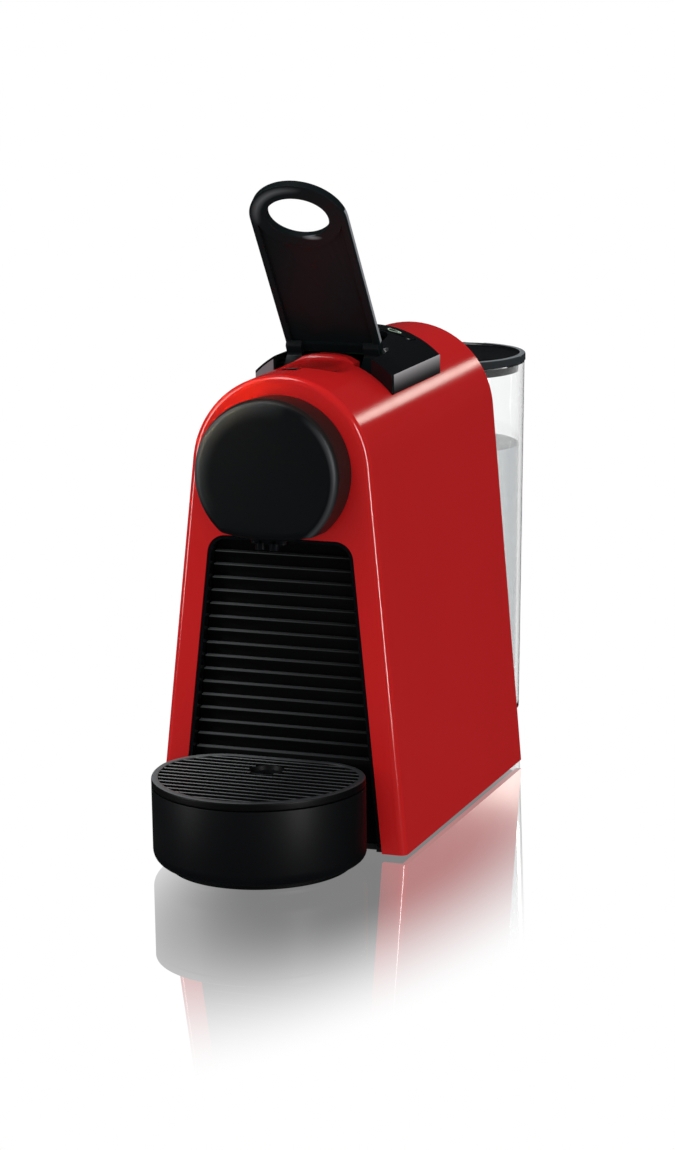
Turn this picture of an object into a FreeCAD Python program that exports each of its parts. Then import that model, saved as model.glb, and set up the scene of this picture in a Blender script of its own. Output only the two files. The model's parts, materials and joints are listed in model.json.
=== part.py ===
"""Slim capsule espresso machine, built piece by piece in millimetres.

Every piece is modelled in the body frame: x runs to the right, y runs back from the foot of the
front face, and z runs up from the worktop. The assembly is shifted along y on export, so that the
origin lies under the middle of the whole machine. The lever is drawn open, on its stop.
"""
import FreeCAD, Part
import math
import os
from FreeCAD import Matrix, Vector

# ---- driving dimensions ----------------------------------------------------------------------
ORIGIN_Y = -97.4            # shift that puts the origin under the middle of the machine

# red arch housing
FOOT_HALF = 55.0            # half width where the sides meet the worktop
SIDE_LEAN = 0.102           # the sides lean in by this much per unit of height
ARCH_Z = 156.3              # height of the arch centre
ARCH_R = 38.9               # outside radius of the arch
FRONT_LEAN = 0.049          # the front face leans back
REAR_Y = 154.2              # rear edge at the worktop
REAR_LEAN = 0.077           # the rear edge leans back
SHELL_Z = 2.0               # lower edge of the housing
SHELL_WALL = 2.4
RIM_R = 3.0                 # rounding of the front rim

# recess in the front face, closed by the ribbed drawer front
RECESS_HALF = 44.6
RECESS_LEAN = 0.105
RECESS_TOP = 129.2
RECESS_CORNER = 8.0
RIB_DEPTH = 3.3             # rib crests lie this far behind the front face
RIB_LEDGE = 2.1             # depth of the shelf on top of each rib
RIB_FALL = 0.2              # the shelf falls this much towards its front edge
RIB_PITCH = 5.48
RIB_TOP = 122.0
RIB_COUNT = 16

# round head
HEAD_Z = 156.6
HEAD_R = 31.0
HEAD_REACH = 17.1           # how far the head stands out of the front face
HEAD_ROLL = 3.4             # rounding of its front edge
HEAD_WALL = 1.6
HEAD_UNDER_Z = 130.3        # lowest point of its underside
HEAD_UNDER_R = 88.0         # the underside is a shallow arc
HEAD_CORNER = 4.0           # rounding where the underside meets the circle

# saddle with the slot and the keys
SADDLE_Y = (58.7, 119.7)
SADDLE_HALF = 30.3
SADDLE_R = 43.5
SADDLE_TOP = 201.0
SADDLE_WALL = 2.2
NOTCH_HALF = 21.3
SLOT_Y = (77.9, 107.1)
KEY_CENTRE = (12.4, 113.2)
KEY_SIZE = (16.6, 7.8)

# lever, drawn open
PIVOT_Y = 64.2
PIVOT_Z = 184.6
LEVER_OPEN = 56.4           # degrees that the lever turns from open to closed
LEVER_RISE = 13.05          # underside above the pivot when closed
LEVER_HALF = 20.8
LEVER_THICK = 5.0
LEVER_ROOT = 4.6            # the plate starts this far in front of the pivot
LEVER_STRAIGHT = 76.0       # end of the parallel sides
LEVER_TIP = 93.7            # tip of the ring
LEVER_EDGE = 1.5            # bevel of the upper edges
EAR_X = (13.8, 20.6)
EAR_REACH = 10.0            # how far the ears run along the plate from the pivot
EAR_BOSS_R = 4.0
SHAFT_R = 2.4
CRANK_TRAVEL = 28.0         # travel of the brew carriage

# brewing
BREW_Z = 156.0              # height of the brewing axis
DUCT_Z = 146.5              # height of the coffee duct
RUN_GAP = 0.05              # radial running clearance of the shafts
HOSE_BEND = 2.5             # largest bend of a hose, in radii

# drip tray and drawer
TRAY_R = 43.9
TRAY_Y = -20.2              # centre of the round front
TRAY_CORNER = 25.0          # rear corners
TRAY_Z = (2.4, 34.2)
GRID_Z = (34.5, 37.9)
DRAWER_BACK = 110.0
DRAWER_TOP = 112.0

# water tank
TANK_Y = 225.3
TANK_FOOT_R = 29.6
TANK_RIM_R = 33.1
LID_R = 33.6
TANK_Z = (4.2, 169.4)
LID_TOP = 173.2
COLUMN_HALF = 27.0
COLUMN_TOP = 168.0
COLUMN_GAP = 1.2            # between the column and the tank
GLAND_X, GLAND_Z = 38.0, 17.0

FAR = 400.0                 # larger than the machine, for cutting tools
EPS = 0.01

os.makedirs("parts", exist_ok=True)


# ---- helpers ---------------------------------------------------------------------------------
def export(node, *solids):
    """Write one node as a STEP file, in the frame whose origin is under the middle."""
    shape = solids[0] if len(solids) == 1 else Part.makeCompound(list(solids))
    shape = shape.copy()
    shape.translate(Vector(0, ORIGIN_Y, 0))
    shape.exportStep("parts/" + node + ".step")


def box(x, y, z):
    """Box from three (low, high) pairs."""
    size = (x[1] - x[0], y[1] - y[0], z[1] - z[0])
    return Part.makeBox(size[0], size[1], size[2], Vector(x[0], y[0], z[0]))


def both_sides(shape):
    """The shape and its mirror image across the middle plane."""
    return [shape, shape.mirror(Vector(0, 0, 0), Vector(1, 0, 0))]


def fuse(shapes):
    result = shapes[0]
    if len(shapes) > 1:
        result = result.multiFuse(list(shapes[1:]))
    return result.removeSplitter()


def cut(shape, *tools):
    for tool in tools:
        shape = shape.cut(tool)
    return shape


def outline(corners, place):
    """Closed wire through (a, b, radius) corners; place turns (a, b) into a 3-D point."""
    count = len(corners)
    starts, ends, middles = [], [], []
    for i, (a, b, radius) in enumerate(corners):
        here = Vector(a, b, 0)
        before = Vector(corners[i - 1][0], corners[i - 1][1], 0) - here
        after = Vector(corners[(i + 1) % count][0], corners[(i + 1) % count][1], 0) - here
        before.normalize()
        after.normalize()
        if radius == 0:
            starts.append(here)
            ends.append(here)
            middles.append(None)
            continue
        half = before.getAngle(after) / 2
        reach = radius / math.tan(half)
        inward = (before + after).normalize()
        starts.append(here + before * reach)
        ends.append(here + after * reach)
        middles.append(here + inward * (radius / math.sin(half) - radius))
    edges = []
    for i in range(count):
        if middles[i] is not None:
            points = [place(p.x, p.y) for p in (starts[i], middles[i], ends[i])]
            edges.append(Part.Arc(*points).toShape())
        follower = starts[(i + 1) % count]
        if ends[i].distanceToPoint(follower) > 1e-6:
            edges.append(Part.makeLine(place(ends[i].x, ends[i].y), place(follower.x, follower.y)))
    return Part.Wire(edges)


def prism_x(corners, x0, x1):
    """Extrude (y, z, radius) corners along x."""
    wire = outline(corners, lambda a, b: Vector(x0, a, b))
    return Part.Face(wire).extrude(Vector(x1 - x0, 0, 0))


def prism_y(corners, y0, y1):
    """Extrude (x, z, radius) corners along y."""
    wire = outline(corners, lambda a, b: Vector(a, y0, b))
    return Part.Face(wire).extrude(Vector(0, y1 - y0, 0))


def prism_z(corners, z0, z1):
    """Extrude (x, y, radius) corners along z."""
    wire = outline(corners, lambda a, b: Vector(a, b, z0))
    return Part.Face(wire).extrude(Vector(0, 0, z1 - z0))


def sharp(points):
    return [(a, b, 0) for a, b in points]


def level_edges(shape, z):
    """The edges of a shape that lie flat at one height."""
    flat = [e for e in shape.Edges if e.BoundBox.ZLength < EPS]
    return [e for e in flat if abs(e.Vertexes[0].Z - z) < EPS]


def rod_x(radius, x0, x1, y, z):
    return Part.makeCylinder(radius, x1 - x0, Vector(x0, y, z), Vector(1, 0, 0))


def rod_y(radius, y0, y1, x, z):
    return Part.makeCylinder(radius, y1 - y0, Vector(x, y0, z), Vector(0, 1, 0))


def rod_z(radius, z0, z1, x, y):
    return Part.makeCylinder(radius, z1 - z0, Vector(x, y, z0), Vector(0, 0, 1))


def turned(profile, base, axis):
    """Revolve (radius, height) points about an axis; heights run along it from base."""
    axis = Vector(axis)
    axis.normalize()
    across = Vector(1, 0, 0) if abs(axis.x) < 0.9 else Vector(0, 0, 1)
    points = [base + across * r + axis * h for r, h in profile]
    return spin(Part.Face(Part.makePolygon(points + [points[0]])), base, axis)


def spin(face, base, axis):
    """Full turn of a face about an axis, with its surface facing outwards."""
    solid = face.revolve(base, axis, 360)
    if solid.Volume < 0:
        solid.reverse()
    return solid


def hose(points, radius):
    """Round hose: straight runs joined by tangent bends."""
    pieces, here = [], points[0]
    for i in range(1, len(points) - 1):
        before = points[i - 1] - points[i]
        after = points[i + 1] - points[i]
        half = before.getAngle(after) / 2
        run = min(0.45 * before.Length, 0.45 * after.Length, HOSE_BEND * radius / math.tan(half))
        bend = run * math.tan(half)
        before.normalize()
        after.normalize()
        start = points[i] + before * run
        inward = (before + after).normalize()
        centre = points[i] + inward * (bend / math.sin(half))
        axis = after.cross(before)
        disc = Part.Face(Part.Wire(Part.makeCircle(radius, start, before)))
        pieces.append(Part.makeCylinder(radius, here.distanceToPoint(start), here, start - here))
        pieces.append(disc.revolve(centre, axis, 180 - math.degrees(2 * half)))
        here = points[i] + after * run
    last = points[-1]
    pieces.append(Part.makeCylinder(radius, here.distanceToPoint(last), here, last - here))
    return fuse(pieces)


# ---- shared forms ----------------------------------------------------------------------------
def arch_prism(inset, foot_z, y0, y1):
    """Arch with straight leaning sides, inset from the outside of the housing."""
    lean = math.atan(SIDE_LEAN)
    radius = ARCH_R - inset
    foot = FOOT_HALF - SIDE_LEAN * foot_z - inset / math.cos(lean)
    spring_x, spring_z = radius * math.cos(lean), ARCH_Z + radius * math.sin(lean)
    left = Vector(-spring_x, y0, spring_z)
    right = Vector(spring_x, y0, spring_z)
    crown = Vector(0, y0, ARCH_Z + radius)
    edges = [Part.makeLine(Vector(-foot, y0, foot_z), left),
             Part.Arc(left, crown, right).toShape(),
             Part.makeLine(right, Vector(foot, y0, foot_z)),
             Part.makeLine(Vector(foot, y0, foot_z), Vector(-foot, y0, foot_z))]
    return Part.Face(Part.Wire(edges)).extrude(Vector(0, y1 - y0, 0))


def front_y(z):
    return FRONT_LEAN * z


def rear_y(z):
    return REAR_Y + REAR_LEAN * z


def before_front(offset):
    """Everything in front of the front face moved back by offset."""
    low, high = -20.0, 260.0
    points = [(-FAR, low), (front_y(low) + offset, low), (front_y(high) + offset, high), (-FAR, high)]
    return prism_x(sharp(points), -FAR, FAR)


def behind_rear(offset):
    """Everything behind the rear plane moved back by offset."""
    low, high = -20.0, 260.0
    points = [(rear_y(low) + offset, low), (FAR, low), (FAR, high), (rear_y(high) + offset, high)]
    return prism_x(sharp(points), -FAR, FAR)


def recess_prism(inset, foot_z, top_z, y0, y1):
    """Tapered opening with rounded upper corners, inset on its sides and top."""
    low = RECESS_HALF - RECESS_LEAN * foot_z - inset
    high = RECESS_HALF - RECESS_LEAN * top_z - inset
    corner = max(RECESS_CORNER - inset, 1.0)
    corners = [(-low, foot_z, 0), (-high, top_z, corner), (high, top_z, corner), (low, foot_z, 0)]
    return prism_y(corners, y0, y1)


def tray_plan(inset, z0, z1):
    """Round-fronted plan of the drip tray."""
    front = TRAY_R - inset
    corner = TRAY_CORNER - inset
    side = TRAY_R - TRAY_CORNER
    rear = TRAY_Y + corner
    turn = math.sqrt(0.5)
    def at(x, y):
        return Vector(x, y, z0)
    edges = [Part.Arc(at(-front, TRAY_Y), at(0, TRAY_Y - front), at(front, TRAY_Y)).toShape(),
             Part.Arc(at(front, TRAY_Y), at(side + corner * turn, TRAY_Y + corner * turn),
                      at(side, rear)).toShape(),
             Part.makeLine(at(side, rear), at(-side, rear)),
             Part.Arc(at(-side, rear), at(-side - corner * turn, TRAY_Y + corner * turn),
                      at(-front, TRAY_Y)).toShape()]
    return Part.Face(Part.Wire(edges)).extrude(Vector(0, 0, z1 - z0))


def saddle_under(radius, half):
    """Solid under the top of the saddle, down to below the housing's crown."""
    centre = SADDLE_TOP - SADDLE_R
    edge = math.sqrt(radius ** 2 - half ** 2) + centre
    y0, y1 = SADDLE_Y
    left, right = Vector(-half, y0, edge), Vector(half, y0, edge)
    floor = 160.0
    edges = [Part.Arc(left, Vector(0, y0, centre + radius), right).toShape(),
             Part.makeLine(right, Vector(half, y0, floor)),
             Part.makeLine(Vector(half, y0, floor), Vector(-half, y0, floor)),
             Part.makeLine(Vector(-half, y0, floor), left)]
    return Part.Face(Part.Wire(edges)).extrude(Vector(0, y1 - y0, 0))


def head_axis():
    """Point on the front face at the head's centre, and the outward normal there."""
    normal = Vector(0, -1, FRONT_LEAN)
    normal.normalize()
    return Vector(0, front_y(HEAD_Z), HEAD_Z), normal


# ---- housing ---------------------------------------------------------------------------------
DISH_Y = 47.0               # middle of the scoop in the crown
DISH_R = 34.3
DISH_FLOOR = 191.7
LIP_Y = (60.0, 66.5)        # raised lip behind the scoop
LIP_R = 40.6
LIP_TOP = 196.5
LIP_HALF = 13.2             # it fits between the ears of the lever
LIP_LEVEL = 9.6             # half width of its middle, before the ends run out
LIP_END_Z = 193.1           # height of the ends, level with the crown
LIP_EDGE = 1.2              # bevel of its two edges
LATCH_X = (-6.2, 1.4)       # hole that catches the lever, a little left of the middle
LATCH_Y = (24.4, 31.4)


def dish(grow):
    return rod_x(DISH_R + grow, -30, 30, DISH_Y, DISH_FLOOR + DISH_R)


def crown_lip():
    """Raised lip on the tongue of the crown; its ends run out into the arch."""
    y0, y1 = LIP_Y
    root = LIP_R - 4.0
    ring = turned([(root, y0), (LIP_R - LIP_EDGE, y0), (LIP_R, y0 + LIP_EDGE),
                   (LIP_R, y1 - LIP_EDGE), (LIP_R - LIP_EDGE, y1), (root, y1)],
                  Vector(0, 0, LIP_TOP - LIP_R), Vector(0, 1, 0))
    shoulder = LIP_TOP - LIP_R + math.sqrt(LIP_R ** 2 - LIP_LEVEL ** 2)
    roof = shoulder + 10
    ends = [(-LIP_HALF, ARCH_Z), (-LIP_HALF, LIP_END_Z), (-LIP_LEVEL, shoulder), (-LIP_LEVEL, roof),
            (LIP_LEVEL, roof), (LIP_LEVEL, shoulder), (LIP_HALF, LIP_END_Z), (LIP_HALF, ARCH_Z)]
    return ring.common(prism_y(sharp(ends), 0, FAR))


def outer_shell():
    body = arch_prism(0, SHELL_Z, -10, 200)
    body = cut(body, before_front(0), behind_rear(0))
    rim = []
    for edge in body.Edges:
        ends = [v.Point for v in edge.Vertexes]
        on_front = all(abs(p.y - front_y(p.z)) < EPS for p in ends)
        on_floor = all(abs(p.z - SHELL_Z) < EPS for p in ends)
        if on_front and not on_floor:
            rim.append(edge)
    body = body.makeFillet(RIM_R, rim)
    hollow = arch_prism(SHELL_WALL, -5, -10, 200)
    hollow = cut(hollow, before_front(SHELL_WALL), dish(SHELL_WALL))
    body = fuse([cut(body, dish(0), hollow), crown_lip()])
    body = cut(body, recess_prism(0, -5, RECESS_TOP, -20, 12))
    centre, normal = head_axis()
    bore = Part.makeCylinder(25.0, 20, centre - normal * 10, normal)
    opening = box((-29.9, 29.9), (58.9, 119.5), (165, 220))
    opening = cut(opening, box((-LIP_HALF, LIP_HALF), (50, LIP_Y[1]), (160, 225)))
    return cut(body, bore, opening, latch_plan(0, 180, 210))


def latch_plan(inset, z0, z1):
    """Rounded hole in the front of the crown."""
    left, right = LATCH_X[0] + inset, LATCH_X[1] - inset
    low, high = LATCH_Y[0] + inset, LATCH_Y[1] - inset
    corner = 2.0 - inset / 2
    return prism_z([(left, low, corner), (right, low, corner), (right, high, corner),
                    (left, high, corner)], z0, z1)


def latch_socket():
    """Dark cup in that hole, which catches the closed lever."""
    return cut(latch_plan(0.15, 186.5, 193.2), latch_plan(0.95, 188.0, 200))


def base_plate():
    inside = SHELL_WALL + 0.3
    plate = arch_prism(inside, 1.8, -10, 200)
    plate = plate.common(box((-FAR, FAR), (-FAR, FAR), (1.8, 4.4)))
    plate = cut(plate, before_front(inside), behind_rear(-4.2))
    plate = cut(plate, box((-41, 41), (-20, TRAY_Y + TRAY_CORNER + 0.8), (0, 10)))
    tail = prism_z([(-COLUMN_HALF + 2, 140, 0), (COLUMN_HALF - 2, 140, 0),
                    (COLUMN_HALF - 2, TANK_Y + 24, 22), (-COLUMN_HALF + 2, TANK_Y + 24, 22)], 1.8, 3.6)
    screws = [rod_z(3.3, 0, 3.0, x, y) for x, y in SCREW_PLACES]
    return cut(fuse([plate, tail]), *screws)


SCREW_PLACES = [(-40, 30), (40, 30), (-40, 128), (40, 128)]
FEET_PLACES = [(-44, 14), (44, 14), (-44, 142), (44, 142), (0, 243)]


def base_screws():
    screws = []
    for x, y in SCREW_PLACES:
        head = rod_z(3.1, 1.9, 2.9, x, y)
        slot = cut(head, box((x - 0.4, x + 0.4), (y - 4, y + 4), (1, 2.3)))
        slot = cut(slot, box((x - 4, x + 4), (y - 0.4, y + 0.4), (1, 2.3)))
        screws.append(slot)
    return screws


def rubber_feet():
    feet = []
    for x, y in FEET_PLACES:
        feet.append(turned([(0, 0), (4.4, 0), (5.2, 0.7), (5.2, 1.8), (0, 1.8)],
                           Vector(x, y, 0), Vector(0, 0, 1)))
    return feet


def rear_panel():
    """Rear wall of the housing with the hollow column that the tank stands against."""
    wall = arch_prism(SHELL_WALL + 0.25, 4.6, 100, 200)
    wall = cut(wall.common(behind_rear(-3.6)), behind_rear(-1.2))
    column = column_block(0).common(behind_rear(-1.25))
    panel = cut(fuse([wall, column]), column_block(2.4))
    gland = rod_y(5.6, 100, 200, GLAND_X, GLAND_Z)
    vents = []
    for i in range(6):
        z = 92 + 7 * i
        vents.extend(both_sides(box((30.5, 37.5), (140, 190), (z, z + 2.6))))
    return cut(panel, gland, *vents)


def column_block(inset):
    """Block behind the rear wall; its back leans like the side of the tank."""
    half, low, high = COLUMN_HALF - inset, 3.8 + inset, COLUMN_TOP - inset
    start = 140.0
    def back(z):
        return TANK_Y - tank_radius(z) - COLUMN_GAP - inset
    return prism_x(sharp([(start, low), (back(low), low), (back(high), high), (start, high)]),
                   -half, half)


def power_gland():
    """Grommet in the rear wall for the power inlet."""
    return turned([(3.7, -6), (5.4, -6), (5.4, -0.4), (7.4, -0.4), (6.6, 2.4), (3.7, 2.4)],
                  Vector(GLAND_X, rear_y(GLAND_Z), GLAND_Z), Vector(0, 1, 0))


def tank_cradle():
    """Seat under the tank, with the raised boss that enters the tank's foot."""
    return turned([(6.3, 3.7), (24.8, 3.7), (24.8, 4.9), (23.6, 6.6), (6.3, 6.6)],
                  Vector(0, TANK_Y, 0), Vector(0, 0, 1))


def inlet_spigot():
    return turned([(1.6, 3.8), (6.1, 3.8), (6.1, 5.4), (3.4, 6.2), (3.4, 10.2), (1.6, 10.2)],
                  Vector(0, TANK_Y, 0), Vector(0, 0, 1))


def inlet_seal():
    return turned([(3.45, 8.0), (4.5, 8.3), (4.5, 9.5), (3.45, 9.8)],
                  Vector(0, TANK_Y, 0), Vector(0, 0, 1))


# ---- front: liner, head, spout ---------------------------------------------------------------
def front_liner():
    """Black frame that lines the recess, open at the worktop."""
    outer = recess_prism(0.15, 4.5, RECESS_TOP - 0.15, -20, 13.4)
    inner = recess_prism(1.7, -5, RECESS_TOP - 1.7, -25, 30)
    frame = cut(outer, inner, before_front(0.35))
    flange_out = recess_prism(-3.0, 4.5, RECESS_TOP + 0.3, -20, 30)
    band = cut(flange_out, before_front(SHELL_WALL + 0.2))
    band = band.common(before_front(SHELL_WALL + 1.8))
    band = cut(band, recess_prism(0.1, -5, RECESS_TOP - 0.15, -25, 40))
    return fuse([frame, band])


def head_prism(inset, h0, h1):
    """Head outline, inset, between two heights above the front face."""
    centre, normal = head_axis()
    up = Vector(1, 0, 0).cross(normal) * -1
    radius, under = HEAD_R - inset, HEAD_UNDER_R - inset
    corner = HEAD_CORNER - inset
    rise = HEAD_UNDER_Z + HEAD_UNDER_R - HEAD_Z
    drop = ((radius - corner) ** 2 - (under - corner) ** 2 + rise ** 2) / (2 * rise)
    side = math.sqrt((radius - corner) ** 2 - drop ** 2)

    def at(x, v):
        return centre + Vector(x, 0, 0) + up * v + normal * h0

    def corner_points(sign):
        on_circle = Vector(side, drop).normalize()
        on_arc = Vector(side, drop - rise).normalize()
        halfway = (on_circle + on_arc).normalize()
        return [at(sign * (side + d.x * corner), drop + d.y * corner)
                for d in (on_circle, halfway, on_arc)]
    right, left = corner_points(1), corner_points(-1)
    edges = [Part.Arc(left[0], at(0, radius), right[0]).toShape(),
             Part.Arc(*right).toShape(),
             Part.Arc(right[2], at(0, rise - under), left[2]).toShape(),
             Part.Arc(*left[::-1]).toShape()]
    return Part.Face(Part.Wire(edges)).extrude(normal * (h1 - h0))


def head_collar():
    """Seat ring between the front face and the head, with a sleeve through the wall."""
    centre, normal = head_axis()
    ring = turned([(16, -5.4), (24.7, -5.4), (24.7, 0.15), (29.2, 0.15), (29.2, 1.6), (16, 1.6)],
                  centre, normal)
    return ring.common(head_prism(HEAD_WALL + 0.2, -8, 8))


def head_cap():
    """Round head: a deep cap with a rolled front edge and a shallow arc underneath."""
    centre, normal = head_axis()
    cap = head_prism(0, 0.25, HEAD_REACH)
    front = [e for e in cap.Edges
             if all(abs((v.Point - centre).dot(normal) - HEAD_REACH) < EPS for v in e.Vertexes)]
    cap = cap.makeFillet(HEAD_ROLL, front)
    hollow = head_prism(HEAD_WALL, -1, HEAD_REACH - 5.0)
    hollow = fuse([hollow, head_prism(3.9, -1, HEAD_REACH - 2.4)])
    spout_room = prism_z([(-8.2, -8.0, 3), (8.2, -8.0, 3), (8.2, -0.4, 3), (-8.2, -0.4, 3)],
                         100, 136)
    return cut(cap, hollow, spout_room)


def coffee_spout():
    """Twin outlet under the head, fed by the sleeve from the brewing chamber."""
    block = prism_z([(-7.8, -7.4, 2.6), (7.8, -7.4, 2.6), (7.8, -0.8, 2.6), (-7.8, -0.8, 2.6)],
                    129.4, 139.0)
    lips = [rod_z(2.3, 127.2, 130.0, side * 2.9, -6.6) for side in (-1, 1)]
    block = fuse([block] + lips)
    well = prism_z([(-5.4, -6.0, 1.6), (5.4, -6.0, 1.6), (5.4, -2.4, 1.6), (-5.4, -2.4, 1.6)],
                   132.2, 139.5)
    jets = [rod_z(1.3, 126, 133, side * 2.9, -6.2) for side in (-1, 1)]
    block = cut(block, well, *jets)
    arm = rod_y(4.6, -5.0, 12.4, 0, DUCT_Z)
    drop = box((-4.4, 4.4), (-6.8, -2.0), (138.9, 150.6))
    chute = cut(fuse([arm, drop]), rod_y(3.2, -5.4, 20, 0, DUCT_Z),
                box((-3.0, 3.0), (-5.4, -3.2), (138, 147)))
    return fuse([block, chute])


# ---- saddle, keys ----------------------------------------------------------------------------
def slot_plan(grow, z0, z1):
    """Plan of a capsule lying on its side: flange in front, tapered body behind."""
    y0, y1 = SLOT_Y
    flange, flange_end = 19.0 + grow, y0 + 4.6 + grow
    wide, narrow = 16.0 + grow, 12.4 + grow
    corners = [(-flange, y0 - grow, 0), (flange, y0 - grow, 0), (flange, flange_end, 0.8),
               (wide, flange_end, 0.8), (narrow, y1 + grow, 7.0), (-narrow, y1 + grow, 7.0),
               (-wide, flange_end, 0.8), (-flange, flange_end, 0.8)]
    return prism_z(corners, z0, z1)


def key_plan(side, inset, z0, z1):
    cx, cy = KEY_CENTRE
    half_x, half_y = KEY_SIZE[0] / 2 - inset, KEY_SIZE[1] / 2 - inset
    x0, x1 = side * cx - half_x, side * cx + half_x
    corner = 3.2 - inset * 0.5
    return prism_z([(x0, cy - half_y, corner), (x1, cy - half_y, corner),
                    (x1, cy + half_y, corner), (x0, cy + half_y, corner)], z0, z1)


def button_band():
    outer = saddle_under(SADDLE_R, SADDLE_HALF)
    housing = rod_y(ARCH_R + 0.1, 0, 200, 0, ARCH_Z)
    inside = box((-29.7, 29.7), (59.1, 119.3), (150, 220))
    lip = cut(outer, housing)
    root = outer.common(inside).common(box((-FAR, FAR), (-FAR, FAR), (179.6, 220)))
    root = cut(root, rod_y(ARCH_R - 1.0, 50, SADDLE_Y[0] + 2, 0, ARCH_Z))
    hollow = saddle_under(SADDLE_R - SADDLE_WALL, SADDLE_HALF - 2.6)
    hollow = hollow.common(box((-FAR, FAR), (SADDLE_Y[0] + 1.4, SADDLE_Y[1] - 2.4), (0, FAR)))
    notch = box((-NOTCH_HALF, NOTCH_HALF), (0, SLOT_Y[0] + 0.4), (100, 300))
    band = cut(fuse([lip, root]), hollow, notch, slot_plan(0, 150, 250), *guide_seats(0.2))
    pockets = [key_plan(side, -0.25, 150, 250) for side in (-1, 1)]
    return cut(band, *pockets)


def guide_seats(grow):
    """Strips in the front corners of the slot that steer the capsule's flange."""
    y0 = SLOT_Y[0] + 0.4
    strip = box((19.1 - grow, 20.5 + grow), (y0 - grow, y0 + 3.9 + grow), (189.2 - grow, 196.9 + grow))
    return both_sides(strip)


def key_cap(side):
    """Key with a face that follows the saddle, and a stem down to its switch."""
    face = saddle_under(SADDLE_R + 0.35, SADDLE_HALF - 1)
    under = saddle_under(SADDLE_R - 2.6, SADDLE_HALF - 1)
    cap = key_plan(side, 0.0, 185, 210).common(cut(face, under))
    cx, cy = KEY_CENTRE
    stem = rod_z(1.6, 193.3, 197.0, side * cx, cy)
    return fuse([cap, stem])


def control_board():
    return box((-20, 20), (108.6, 117.1), (189.3, 190.7))


def key_switches():
    cx, cy = KEY_CENTRE
    switches = []
    for side in (-1, 1):
        body = box((side * cx - 2.6, side * cx + 2.6), (cy - 2.6, cy + 2.6), (190.75, 191.9))
        switches.append(body)
    return switches


# ---- lever -----------------------------------------------------------------------------------
def lever_frame(shape):
    """Take a shape drawn with the lever closed and swing it open."""
    shape = shape.copy()
    shape.rotate(Vector(0, PIVOT_Y, PIVOT_Z), Vector(1, 0, 0), -LEVER_OPEN)
    return shape


def lever_outline(inset, z0, z1):
    """Plan of the closed lever, seen from above: parallel sides and an elliptical tip."""
    half = LEVER_HALF - inset
    start = PIVOT_Y - LEVER_ROOT - inset
    straight = PIVOT_Y - LEVER_STRAIGHT
    reach = LEVER_TIP - LEVER_STRAIGHT - inset
    centre = Vector(0, straight, z0)
    def at(x, y):
        return Vector(x, y, z0)
    tip = Part.Ellipse(at(half, straight), at(0, straight - reach), centre)
    edges = [Part.makeLine(at(-half, start), at(half, start)),
             Part.makeLine(at(half, start), at(half, straight)),
             Part.ArcOfEllipse(tip, 0, math.pi).toShape(),
             Part.makeLine(at(-half, straight), at(-half, start))]
    return Part.Face(Part.Wire(Part.sortEdges(edges)[0])).extrude(Vector(0, 0, z1 - z0))


def finger_hole(grow, z0, z1):
    half_x, half_y = 13.5 + grow, 10.0 + grow
    centre = Vector(0, PIVOT_Y - LEVER_STRAIGHT - 1.0, z0)
    ellipse = Part.Ellipse(centre, half_x, half_y).toShape()
    return Part.Face(Part.Wire(ellipse)).extrude(Vector(0, 0, z1 - z0))


def lever():
    """Hollow-backed lever plate with a finger ring and two hinge ears."""
    low = PIVOT_Z + LEVER_RISE
    high = low + LEVER_THICK
    plate = lever_outline(0, low, high)
    plate = cut(plate, finger_hole(0, low - 5, high + 5))
    plate = plate.makeChamfer(LEVER_EDGE, level_edges(plate, high))
    scoop = lever_outline(2.6, low - 1, low + 1.4)
    ring_pad = finger_hole(5.2, low - 1, low + 2)
    scoop = cut(scoop, ring_pad, box((-FAR, FAR), (PIVOT_Y - 9, FAR), (0, FAR)))
    plate = cut(plate, scoop)
    ears = []
    y, z = PIVOT_Y, PIVOT_Z
    web = prism_x([(y - EAR_REACH, low + 0.5, 0), (y - EAR_REACH + 1.2, z + 11.2, 1.0),
                   (y - 4.6, z + 10.8, 1.5), (y - 3.4, z, 0), (y + 3.6, z, 0),
                   (y - LEVER_ROOT, low + 0.5, 0)], *EAR_X)
    boss = rod_x(EAR_BOSS_R, *EAR_X, y, z)
    for ear in both_sides(fuse([web, boss])):
        ears.append(cut(ear, rod_x(SHAFT_R, -40, 40, y, z)))
    return lever_frame(fuse([plate] + ears))


def crank_point():
    """Radius and resting angle of the crank pins, measured from straight down."""
    half_turn = math.radians(LEVER_OPEN / 2)
    radius = CRANK_TRAVEL / 2 / math.sin(half_turn)
    return radius, half_turn


def lever_shaft():
    """Shaft through both ears; it turns in the brew frame."""
    return rod_x(SHAFT_R, -26.9, 26.9, PIVOT_Y, PIVOT_Z)


CRANK_X = (21.9, 23.9)
YOKE_X = (24.3, 26.1)
PIN_R = 2.0
PIN_PLAY = 0.5


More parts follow.
